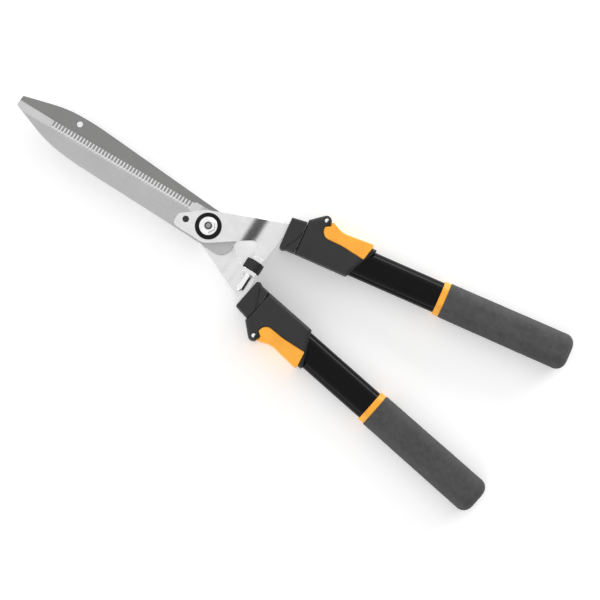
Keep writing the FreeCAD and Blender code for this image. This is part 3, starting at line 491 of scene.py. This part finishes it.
def bolt_steel(name, colour, roughness):
    """Pivot bolt: plated, with a darkened end round its turned centre."""
    finish = Finish(name)
    x, y, _ = finish.place.parts()
    radius = (x * x + y * y).root()
    tarnish = finish.spots(0.0014, detail=3.0)
    dark = radius.ramp(*BOLT_RING_START) * radius.ramp(*BOLT_RING_END)
    centre = finish.mixed(radius.ramp(*BOLT_CENTRE), shade(colour, 0.32), colour)
    base = finish.mixed(dark, centre, BOLT_RING_COLOUR)
    mottled = finish.mixed(tarnish.ramp(0.3, 0.75) * 0.4, base, shade(colour, 0.3))
    return finish.done(
        Base_Color=mottled, Metallic=0.9,
        Roughness=roughness + dark * 0.15 + tarnish * 0.1,
        Normal=finish.bump((radius * (2 * math.pi / BOLT_TURNING_PITCH)).sin(), 0.00002))


def moulded_plastic(name, colour, roughness, grain_size=0.0004, grain_depth=0.00003, wear=1.5,
                    coat=0.0, gloss=0.3):
    """Grained moulded plastic, a little lighter where its edges are worn."""
    finish = Finish(name)
    grain = finish.spots(grain_size, detail=2.0, roughness=0.6)
    clouds = finish.spots(0.014, detail=4.0)
    tone = clouds * 0.7 + grain * 0.3
    base = finish.mixed(tone.ramp(0.3, 0.7), shade(colour, 0.88), shade(colour, 1.12))
    edge_wear_and_side_shade = finish.mixed(finish.edges(0.0007) * 0.5, base, shade(colour, wear))
    return finish.done(
        Base_Color=edge_wear_and_side_shade,
        Roughness=roughness + (tone - 0.5) * 0.2,
        Specular_IOR_Level=gloss, Coat_Weight=coat, Coat_Roughness=0.2,
        Normal=finish.bump(grain, grain_depth))


def tube_paint(name, colour):
    """Semi-gloss black paint with a slight orange peel and fine dust."""
    finish = Finish(name)
    peel = finish.spots(0.0022, detail=1.0)
    dust = finish.spots(0.0004, detail=1.0).ramp(0.66, 0.72)
    smear = finish.spots(0.02, detail=4.0, stretch=(4, 1, 1))
    base = finish.mixed(smear.ramp(0.3, 0.8), colour, shade(colour, 1.8))
    dusty = finish.mixed(dust * 0.25, base, shade(colour, 5))
    return finish.done(
        Base_Color=dusty,
        Roughness=0.2 + smear * 0.12,
        Specular_IOR_Level=0.08, Coat_Weight=0.04, Coat_Roughness=0.12,
        Normal=finish.bump(peel, 0.00002))


def grip_foam(name, colour):
    """Soft closed-cell foam: fine pores and mottling, with painted shade darkening its sides
    against its flat faces.
    """
    finish = Finish(name)
    mottle = finish.spots(0.006, detail=5.0, roughness=0.6)
    patches = finish.spots(0.03, detail=2.0)
    pores = finish.cells(0.0006)
    lumps = finish.spots(0.0018, detail=3.0, roughness=0.6)
    tone = mottle * 0.5 + patches * 0.3 + lumps * 0.2
    base = finish.mixed(tone.ramp(0.35, 0.65), shade(colour, 0.74), shade(colour, 1.28))
    pitted = finish.mixed(pores.ramp(0.0, 0.35), shade(colour, 0.55), base)
    # Painted shade: the foam's sides, where less light falls, are darkened to 0.42 of its colour;
    # the flat faces keep it.
    edge_wear_and_side_shade = abs(finish.facing.parts()[2]).ramp(0.1, 0.8)
    painted_side_shade = finish.mixed(edge_wear_and_side_shade, shade(colour, 0.42), pitted)
    return finish.done(
        Base_Color=painted_side_shade,
        Roughness=0.86 + (mottle - 0.5) * 0.16,
        Specular_IOR_Level=0.25, Sheen_Weight=0.12, Sheen_Roughness=0.6,
        Normal=finish.bump(pores.ramp(0.0, 0.5) * 0.5 + lumps * 0.8, 0.0001))


def floor_paint(name):
    """Plain pale floor that glows a little."""
    finish = Finish(name)
    cloud = finish.spots(0.4, detail=2.0)
    return finish.done(
        Base_Color=finish.mixed(cloud, (0.92, 0.92, 0.92), (0.93, 0.93, 0.93)),
        Roughness=0.8, Specular_IOR_Level=0.2,
        Emission_Color=(1.0, 1.0, 1.0, 1.0), Emission_Strength=0.2)


FINISHES = {}


def make_finishes(colours):
    """One finish for each slot, called by the slot's name."""
    makers = {
        "front_blade_steel": (ground_steel, dict(
            colour=colours.front_blade, bar_colour=(0.68, 0.68, 0.68),
            groove_shade_colour=(0.25, 0.25, 0.25), roughness=0.42, side=1)),
        "rear_blade_steel": (ground_steel, dict(
            colour=colours.rear_blade, bar_colour=(0.45, 0.45, 0.45),
            groove_shade_colour=(0.12, 0.12, 0.12), roughness=0.5, side=-1)),
        "tang_steel": (plated_steel, dict(colour=colours.tang, roughness=0.27, grain=0.15)),
        "bolt_steel": (turned_steel, dict(colour=colours.bolt, roughness=0.24)),
        "pivot_bolt_steel": (bolt_steel, dict(colour=colours.bolt, roughness=0.3)),
        "dark_pin": (turned_steel, dict(colour=(0.06, 0.06, 0.06), roughness=0.45)),
        "black_nylon": (moulded_plastic, dict(
            colour=(0.007, 0.007, 0.007), roughness=0.5, gloss=0.15)),
        "rubber": (moulded_plastic, dict(
            colour=(0.02, 0.02, 0.02), roughness=0.5, grain_size=0.0012)),
        "collar_plastic": (moulded_plastic, dict(colour=colours.housing, roughness=0.52)),
        "housing_plastic": (moulded_plastic, dict(colour=colours.housing, roughness=0.55)),
        "lever_plastic": (moulded_plastic, dict(
            colour=colours.lever, roughness=0.38, grain_depth=0.000012, wear=1.15, coat=0.15)),
        "outer_tube_paint": (tube_paint, dict(colour=colours.tube)),
        "inner_tube_metal": (plated_steel, dict(colour=(0.62, 0.62, 0.64), roughness=0.35)),
        "grip_foam": (grip_foam, dict(colour=colours.grip)),
        "band_plastic": (moulded_plastic, dict(
            colour=colours.lever, roughness=0.4, grain_depth=0.000012, wear=1.1)),
        "white_nylon": (moulded_plastic, dict(
            colour=(0.72, 0.71, 0.68), roughness=0.45, wear=1.05)),
    }
    for slot, (maker, values) in makers.items():
        FINISHES[slot] = maker(slot, **values)


def refinish(node, slot):
    """Gives a carried-over CAD node its finish."""
    materials = NODES[node].data.materials
    for index in range(max(1, len(materials))):
        if index < len(materials):
            materials[index] = FINISHES[slot]
        else:
            materials.append(FINISHES[slot])


def stand_in(piece, body, slot, *nodes):
    """Lets a finished piece ride on its body in place of CAD nodes."""
    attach(piece, body)
    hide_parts(*nodes)
    return piece


# ---------------------------------------------------------------------------------------------
# Geometry trees

# Rows of a sleeve's lattice, from the bottom of its bore round the outside to its closed end
ROWS = {"floor": 1, "bore": 1, "face": 1, "front": 4, "run": 30, "end": 8, "cap": 1}


def sleeve_tree():
    """A flat-sided sleeve: straight bore, rounded ends, swelling run, and a closed or open end."""
    net = Shape("flat_sleeve", {
        "Length": 0.1, "Bore": 0.1, "Half Width": 0.02, "Half Thickness": 0.014,
        "Wall": 0.002, "Front Round": 0.001, "End Round": 0.001, "Swell": 0.0,
        "Closed": 0.0, "Unevenness": 0.0, "Finish": None})
    size = net.inputs
    columns = 97
    grid, row, column = net.lattice(sum(ROWS.values()) + 1, columns)
    reached = 0
    share = {}
    for name, count in ROWS.items():
        share[name] = row.ramp(reached, reached + count)
        reached += count
    quarter = math.pi / 2
    front = share["front"] * quarter
    end = share["end"] * quarter
    last_inset = size["Wall"] + size["Closed"] * (size["Half Thickness"] - size["Wall"])
    along = (size["Bore"] * (1 - share["bore"])
             + size["Front Round"] * (1 - front.cos())
             + share["run"] * (size["Length"] - size["Front Round"] - size["End Round"])
             + size["End Round"] * end.sin())
    inset = (last_inset * (1 - share["floor"])
             + size["Wall"] * (share["floor"] - share["face"])
             + size["Front Round"] * (share["face"] - front.sin())
             - size["Swell"] * share["run"] * (1 - share["cap"])
             + size["End Round"] * (1 - end.cos()) * (1 - share["cap"])
             + last_inset * share["cap"])
    angle = (column + 0.5) * (2 * math.pi / (columns - 1))
    radius = size["Half Thickness"] - inset
    flat = size["Half Width"] - size["Half Thickness"]
    outward = angle.cos().sign() * flat + radius * angle.cos()
    across = radius * angle.sin()
    skin = share["front"] * (1 - share["end"] * 0.6) * (1 - share["cap"])
    place = net.vector(along, outward, across)
    lumps = net.node("ShaderNodeTexNoise", {},
                     {"Vector": place, "Scale": 60.0, "Detail": 2.0})
    wobble = (lumps - 0.5) * size["Unevenness"] * skin
    uneven = net.vector(along, outward + wobble * angle.cos(),
                        across + wobble * angle.sin())
    return net.finished(net.placed(grid, uneven))


def thread_tree():
    """A screw thread on a rod along Z, with a chamfered crest at each end and closed ends."""
    net = Shape("thread", {"Length": 0.01, "Radius": 0.003, "Depth": 0.0004, "Pitch": 0.001,
                           "Finish": None})
    size = net.inputs
    rows, columns = 122, 33
    grid, row, column = net.lattice(rows, columns)
    share = (row - 1).ramp(0, rows - 3)
    inside = row.ramp(0, 1) * row.ramp(rows - 1, rows - 2)
    height = share * size["Length"]
    turn = column / (columns - 1)
    phase = (height / size["Pitch"] + turn).fraction()
    groove = abs(phase - 0.5) * 2
    near_end = (height.least(size["Length"] - height) / size["Pitch"]).least(1)
    radius = size["Radius"] - size["Depth"] * (1 - groove) - size["Depth"] * (1 - near_end)
    angle = turn * (2 * math.pi)
    place = net.vector(radius * angle.cos() * inside, radius * angle.sin() * inside, height)
    return net.finished(net.placed(grid, place))


def pin_tree():
    """A row of round pins along X with domed ends: shank along Z, Count pins a Spacing apart."""
    net = Shape("pins", {"Count": 1, "Spacing": 0.01, "Radius": 0.0025, "Length": 0.01,
                         "Dome": 0.0004, "Finish": None})
    size = net.inputs
    rows, columns = 14, 33
    grid, row, column = net.lattice(rows, columns)
    middle = (rows - 1) / 2
    side = (row - middle).sign()
    step = (abs(row - middle) - 0.5) / (middle - 0.5)
    bend = step * (math.pi / 2)
    angle = column * (2 * math.pi / (columns - 1))
    radius = size["Radius"] * bend.cos()
    height = side * (size["Length"] / 2 - size["Dome"] + size["Dome"] * bend.sin())
    pin = net.placed(grid, net.vector(radius * angle.cos(), radius * angle.sin(), height))
    points = net.node("GeometryNodeMeshLine", {"mode": "OFFSET"},
                      {"Count": size["Count"], "Offset": net.vector(size["Spacing"], 0, 0)})
    row_of_pins = net.node("GeometryNodeInstanceOnPoints", {},
                           {"Points": points, "Instance": pin})
    return net.finished(row_of_pins)


TREES = {}


# ---------------------------------------------------------------------------------------------
# Sizes and colours

def length_property(name, description, default):
    return FloatProperty(name=name, description=description, default=default, unit="LENGTH",
                         precision=5)


def colour_property(name, description, default):
    return FloatVectorProperty(name=name, description=description, default=default,
                               subtype="COLOR", size=3, min=0, max=1)


class ShearsColours(bpy.types.PropertyGroup):
    front_blade: colour_property("Front blade", "Steel of the front blade", (0.5, 0.5, 0.5))
    rear_blade: colour_property("Rear blade", "Steel of the rear blade", (0.262, 0.262, 0.259))
    tang: colour_property("Tangs", "Plated tangs", (0.81, 0.81, 0.81))
    bolt: colour_property("Fasteners", "Nut, bolt and stud", (0.97, 0.97, 0.97))
    housing: colour_property("Housings", "Collars and clamp housings",
                             (0.0235, 0.0235, 0.025))
    lever: colour_property("Levers", "Lock levers and grip bands", (0.95, 0.395, 0.036))
    tube: colour_property("Outer tubes", "Paint of the outer tubes",
                          (0.0025, 0.0025, 0.0029))
    grip: colour_property("Grips", "Foam of the grips", (0.063, 0.061, 0.061))


class ShearsSizes(bpy.types.PropertyGroup):
    plastic_round: length_property("Plastic edges", "Rounding of housings and levers", 0.0006)
    collar_round: length_property("Collar edges", "Rounding of the collars", 0.00025)
    ring_round: length_property("Ring edges", "Rounding of the pivot rings", 0.0005)
    rubber_round: length_property("Rubber edges", "Rounding of the bumper", 0.0008)
    metal_round: length_property("Metal edges", "Rounding of tangs and pivot nut", 0.0004)
    fine_round: length_property("Fine edges", "Rounding of the bumper's washer and nut", 0.0002)
    grip_front_round: length_property("Grip front", "Rounding of a grip's front edge", 0.0012)
    grip_end_round: length_property("Grip end", "Rounding of a grip's rear end", 0.011)
    grip_swell: length_property("Grip swell", "How much each side of a grip swells", 0.00065)
    foam_unevenness: length_property("Foam unevenness", "How far foam skin wanders", 0.0005)
    tube_round: length_property("Tube edges", "Rounding of the tube ends", 0.0003)
    tube_wall: length_property("Tube wall", "Thickness of the tube walls", 0.0014)
    band_round: length_property("Band edges", "Rounding of the grip bands", 0.0008)
    stud_pitch: length_property("Stud thread", "Pitch of the bumper stud's thread", 0.0008)
    thread_depth: length_property("Thread depth", "Depth of the stud's thread", 0.0004)
    pin_dome: length_property("Pin dome", "Height of the lever pins' domed ends", 0.001)
    round_steps: IntProperty(name="Rounding steps", description="Faces across a rounded edge",
                             default=3, min=1, max=8)


def sizes():
    return bpy.context.scene.shears_sizes


# ---------------------------------------------------------------------------------------------
# Operators

class SHEARS_OT_finishes(bpy.types.Operator):
    """Make the finishes and the geometry trees"""
    bl_idname = "shears.finishes"
    bl_label = "Finishes"

    def execute(self, context):
        make_finishes(context.scene.shears_colours)
        TREES.update(sleeve=sleeve_tree(), thread=thread_tree(), pins=pin_tree())
        return {"FINISHED"}


class SHEARS_OT_blades(bpy.types.Operator):
    """Finish the two blades"""
    bl_idname = "shears.blades"
    bl_label = "Blades"

    def execute(self, context):
        refinish("front_blade", "front_blade_steel")
        refinish("rear_blade", "rear_blade_steel")
        return {"FINISHED"}


class SHEARS_OT_tangs(bpy.types.Operator):
    """Round the tangs' edges and plate them"""
    bl_idname = "shears.tangs"
    bl_label = "Tangs"

    def execute(self, context):
        for node, body in (("front_tang", "upper_handle"), ("rear_tang", "lower_handle")):
            piece = rounded(f"{node}_plated", node, sizes().metal_round, FINE_STEPS,
                            FINISHES["tang_steel"])
            stand_in(piece, body, "tang_steel", node)
        return {"FINISHED"}


class SHEARS_OT_pivot(bpy.types.Operator):
    """Nut, bolt, rings and pins of the linkage"""
    bl_idname = "shears.pivot"
    bl_label = "Pivot and link pins"

    def execute(self, context):
        piece = rounded("pivot_nut_plated", "pivot_nut", sizes().metal_round,
                        sizes().round_steps, FINISHES["bolt_steel"])
        stand_in(piece, "lower_handle", "bolt_steel", "pivot_nut")
        for node in ("front_pivot_ring", "rear_pivot_ring"):
            piece = rounded(f"{node}_moulded", node, sizes().ring_round, sizes().round_steps,
                            FINISHES["black_nylon"])
            stand_in(piece, "lower_handle", "black_nylon", node)
        refinish("pivot_bolt", "pivot_bolt_steel")
        refinish("pivot_spacer", "bolt_steel")
        refinish("front_link_pin", "dark_pin")
        refinish("rear_link_pin", "dark_pin")
        refinish("blade_pin", "bolt_steel")
        return {"FINISHED"}


class SHEARS_OT_bumper(bpy.types.Operator):
    """Rubber bumper with its threaded stud, washer and nut"""
    bl_idname = "shears.bumper"
    bl_label = "Bumper"

    def execute(self, context):
        piece = rounded("bumper_rubber", "bumper", sizes().rubber_round, sizes().round_steps,
                        FINISHES["rubber"])
        stand_in(piece, "lower_handle", "rubber", "bumper")
        low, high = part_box("bumper_stud")
        start = Matrix.Translation(((low.x + high.x) / 2, low.y, (low.z + high.z) / 2))
        values = {"Length": high.y - low.y, "Radius": (high.x - low.x) / 2,
                  "Depth": sizes().thread_depth, "Pitch": sizes().stud_pitch,
                  "Finish": FINISHES["bolt_steel"]}
        piece = grown("bumper_stud_thread", TREES["thread"], values,
                      start @ Matrix.Rotation(math.radians(-90), 4, "X"))
        stand_in(piece, "lower_handle", "bolt_steel", "bumper_stud")
        for node in ("bumper_washer", "bumper_nut"):
            piece = rounded(f"{node}_plated", node, sizes().fine_round, FINE_STEPS,
                            FINISHES["bolt_steel"])
            stand_in(piece, "lower_handle", "bolt_steel", node)
        return {"FINISHED"}


class SHEARS_OT_collars(bpy.types.Operator):
    """Collars between tangs and inner tubes, with their tang pins"""
    bl_idname = "shears.collars"
    bl_label = "Collars"

    def execute(self, context):
        for side in SIDES:
            body = f"{side}_handle"
            piece = rounded(f"{side}_collar_moulded", f"{side}_collar",
                            sizes().collar_round, sizes().round_steps,
                            FINISHES["collar_plastic"])
            stand_in(piece, body, "collar_plastic", f"{side}_collar")
            refinish(f"{side}_tang_pins", "bolt_steel")
            refinish(f"{side}_tube_glide", "white_nylon")
        return {"FINISHED"}


class SHEARS_OT_housings(bpy.types.Operator):
    """Clamp housings with their lever pins, bushes and shoes"""
    bl_idname = "shears.housings"
    bl_label = "Clamp housings"

    def execute(self, context):
        for side in SIDES:
            body = f"{side}_sleeve"
            piece = rounded(f"{side}_housing_moulded", f"{side}_clamp_housing",
                            sizes().plastic_round, sizes().round_steps,
                            FINISHES["housing_plastic"])
            stand_in(piece, body, "housing_plastic", f"{side}_clamp_housing")
            place = handle_frame(side)
            low, high = extent(f"{side}_lever_pin", place)
            values = {"Count": 1, "Spacing": 0.0, "Radius": (high.x - low.x) / 2,
                      "Length": high.z - low.z, "Dome": sizes().pin_dome,
                      "Finish": FINISHES["bolt_steel"]}
            piece = grown(f"{side}_lever_pin_turned", TREES["pins"], values,
                          place @ Matrix.Translation((low + high) / 2))
            stand_in(piece, body, "bolt_steel", f"{side}_lever_pin")
            refinish(f"{side}_guide_bush", "white_nylon")
            refinish(f"{side}_clamp_shoe", "black_nylon")
        return {"FINISHED"}


class SHEARS_OT_levers(bpy.types.Operator):
    """Orange lock levers"""
    bl_idname = "shears.levers"
    bl_label = "Lock levers"

    def execute(self, context):
        for side in SIDES:
            piece = rounded(f"{side}_lever_moulded", f"{side}_lock_lever",
                            sizes().plastic_round, sizes().round_steps,
                            FINISHES["lever_plastic"])
            stand_in(piece, f"{side}_lever", "lever_plastic", f"{side}_lock_lever")
        return {"FINISHED"}


def sleeve(side, node, name, body, slot, **values):
    """A flat-sided sleeve that stands for a CAD node with the same ends and section."""
    place = handle_frame(side)
    low, high = extent(node, place)
    sizes_of_node = {
        "Length": high.x - low.x, "Bore": high.x - low.x, "Half Width": (high.y - low.y) / 2,
        "Half Thickness": (high.z - low.z) / 2, "Wall": sizes().tube_wall,
        "Finish": FINISHES[slot]}
    sizes_of_node.update(values)
    piece = grown(name, TREES["sleeve"], sizes_of_node,
                  place @ Matrix.Translation((low.x, 0, 0)))
    return stand_in(piece, body, slot, node)


class SHEARS_OT_tubes(bpy.types.Operator):
    """Painted outer tubes and plain inner tubes"""
    bl_idname = "shears.tubes"
    bl_label = "Tubes"

    def execute(self, context):
        edge = sizes().tube_round
        ends = {"Front Round": edge, "End Round": edge}
        for side in SIDES:
            sleeve(side, f"{side}_outer_tube", f"{side}_outer_tube_painted", f"{side}_sleeve",
                   "outer_tube_paint", **ends)
            sleeve(side, f"{side}_inner_tube", f"{side}_inner_tube_drawn", f"{side}_handle",
                   "inner_tube_metal", **ends)
            refinish(f"{side}_end_plug", "black_nylon")
        return {"FINISHED"}


class SHEARS_OT_bands(bpy.types.Operator):
    """Orange bands in front of the grips"""
    bl_idname = "shears.bands"
    bl_label = "Grip bands"

    def execute(self, context):
        for side in SIDES:
            place = handle_frame(side)
            tube_low, tube_high = extent(f"{side}_outer_tube", place)
            low, high = extent(f"{side}_grip_band", place)
            wall = ((high.z - low.z) - (tube_high.z - tube_low.z)) / 2
            edge = sizes().band_round
            sleeve(side, f"{side}_grip_band", f"{side}_band_moulded", f"{side}_sleeve",
                   "band_plastic", **{"Wall": wall, "Front Round": edge, "End Round": edge})
        return {"FINISHED"}


class SHEARS_OT_grips(bpy.types.Operator):
    """Soft foam grips"""
    bl_idname = "shears.grips"
    bl_label = "Grips"

    def execute(self, context):
        for side in SIDES:
            place = handle_frame(side)
            tube_low, tube_high = extent(f"{side}_outer_tube", place)
            low, high = extent(f"{side}_grip", place)
            swell = sizes().grip_swell
            half_width = (high.y - low.y) / 2 - swell
            half_thick = (high.z - low.z) / 2 - swell
            wall = half_thick - (tube_high.z - tube_low.z) / 2
            _, plug_high = extent(f"{side}_end_plug", place)
            values = {"Half Width": half_width, "Half Thickness": half_thick, "Wall": wall,
                      "Bore": plug_high.x - low.x, "Front Round": sizes().grip_front_round,
                      "End Round": sizes().grip_end_round, "Swell": swell, "Closed": 1.0,
                      "Unevenness": sizes().foam_unevenness}
            piece = sleeve(side, f"{side}_grip", f"{side}_grip_foam", f"{side}_sleeve",
                           "grip_foam", **values)
        return {"FINISHED"}


def area_light(name, place, aim, energy):
    """A long soft light at place that shines on aim."""
    data = bpy.data.lights.new(name, "AREA")
    data.shape = "RECTANGLE"
    data.size, data.size_y = LIGHT_SIZE
    data.energy = energy
    light = linked(name, data)
    light.location = place
    light.rotation_euler = (Vector(aim) - Vector(place)).to_track_quat("-Z", "Y").to_euler()


def studio_world():
    """White studio, dimmer past the tips; a black card past the grips shades the bends."""
    world = bpy.data.worlds.new("studio")
    world.use_nodes = True
    net = Net(world.node_tree)
    world.node_tree.nodes.clear()
    direction = net.node("ShaderNodeTexCoord", out="Generated")
    forward, _, height = direction.parts()
    towards_card = net.node("ShaderNodeVectorMath", {"operation": "DOT_PRODUCT"},
                            {0: direction, 1: CARD_DIRECTION}, out="Value")
    card = towards_card.ramp(*CARD_EDGE, smooth=True)
    light = (height.ramp(0.7, 0.95, low=1.3, high=0.97, smooth=True)
             * (1 - card * CARD_DARKNESS)
             * forward.ramp(-0.8, -0.1, low=0.74, high=1.0, smooth=True))
    background = net.node("ShaderNodeBackground", {},
                          {"Color": (1, 1, 1, 1), "Strength": light})
    net.node("ShaderNodeOutputWorld", {}, {"Surface": background})
    return world


class SHEARS_OT_stage(bpy.types.Operator):
    """Floor, soft studio light and camera"""
    bl_idname = "shears.stage"
    bl_label = "Stage"

    def execute(self, context):
        low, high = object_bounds()
        middle = Vector(((low[0] + high[0]) / 2, (low[1] + high[1]) / 2, low[2]))
        mesh = bpy.data.meshes.new("floor")
        work = bmesh.new()
        bmesh.ops.create_grid(work, x_segments=4, y_segments=4, size=FLOOR_REACH)
        work.to_mesh(mesh)
        work.free()
        mesh.transform(Matrix.Translation((middle.x, middle.y, low[2] - FLOOR_GAP)))
        mesh.materials.append(floor_paint("floor_paint"))
        linked("floor", mesh)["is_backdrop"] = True

        for name, (place, energy) in LIGHTS.items():
            area_light(name, place, middle, energy)
        context.scene.world = studio_world()
        context.scene.view_settings.view_transform = "Standard"

        data = bpy.data.cameras.new("camera")
        data.lens = CAMERA_LENS
        data.sensor_width = CAMERA_SENSOR
        data.clip_end = CAMERA_REACH
        camera = linked("camera", data)
        away = Vector((0, -math.sin(CAMERA_TILT), math.cos(CAMERA_TILT)))
        right = Vector((math.cos(CAMERA_ROLL), math.sin(CAMERA_ROLL), 0))
        right = (right - away * right.dot(away)).normalized()
        up = away.cross(right)
        turn = Matrix((right, up, away)).transposed().to_4x4()
        place = CAMERA_TARGET + away * CAMERA_DISTANCE
        camera.matrix_world = Matrix.Translation(place) @ turn
        context.scene.camera = camera
        return {"FINISHED"}


OPERATORS = (
    SHEARS_OT_finishes, SHEARS_OT_blades, SHEARS_OT_tangs, SHEARS_OT_pivot, SHEARS_OT_bumper,
    SHEARS_OT_collars, SHEARS_OT_housings, SHEARS_OT_levers, SHEARS_OT_tubes, SHEARS_OT_bands,
    SHEARS_OT_grips, SHEARS_OT_stage)


class SHEARS_PT_panel(bpy.types.Panel):
    """Lists the shears' operators"""
    bl_idname = "SHEARS_PT_panel"
    bl_label = "Hedge shears"
    bl_space_type = "VIEW_3D"
    bl_region_type = "UI"
    bl_category = "Shears"

    def draw(self, context):
        for operator in OPERATORS:
            self.layout.operator(operator.bl_idname)
        for group in (context.scene.shears_sizes, context.scene.shears_colours):
            for name in group.__annotations__:
                self.layout.prop(group, name)


CLASSES = (ShearsColours, ShearsSizes, *OPERATORS, SHEARS_PT_panel)


def register():
    for item in CLASSES:
        bpy.utils.register_class(item)
    bpy.types.Scene.shears_colours = PointerProperty(type=ShearsColours)
    bpy.types.Scene.shears_sizes = PointerProperty(type=ShearsSizes)


def unregister():
    del bpy.types.Scene.shears_sizes
    del bpy.types.Scene.shears_colours
    for item in reversed(CLASSES):
        bpy.utils.unregister_class(item)


def main():
    register()
    for operator in OPERATORS:
        group, name = operator.bl_idname.split(".")
        getattr(getattr(bpy.ops, group), name)()


if __name__ == "__main__":
    main()
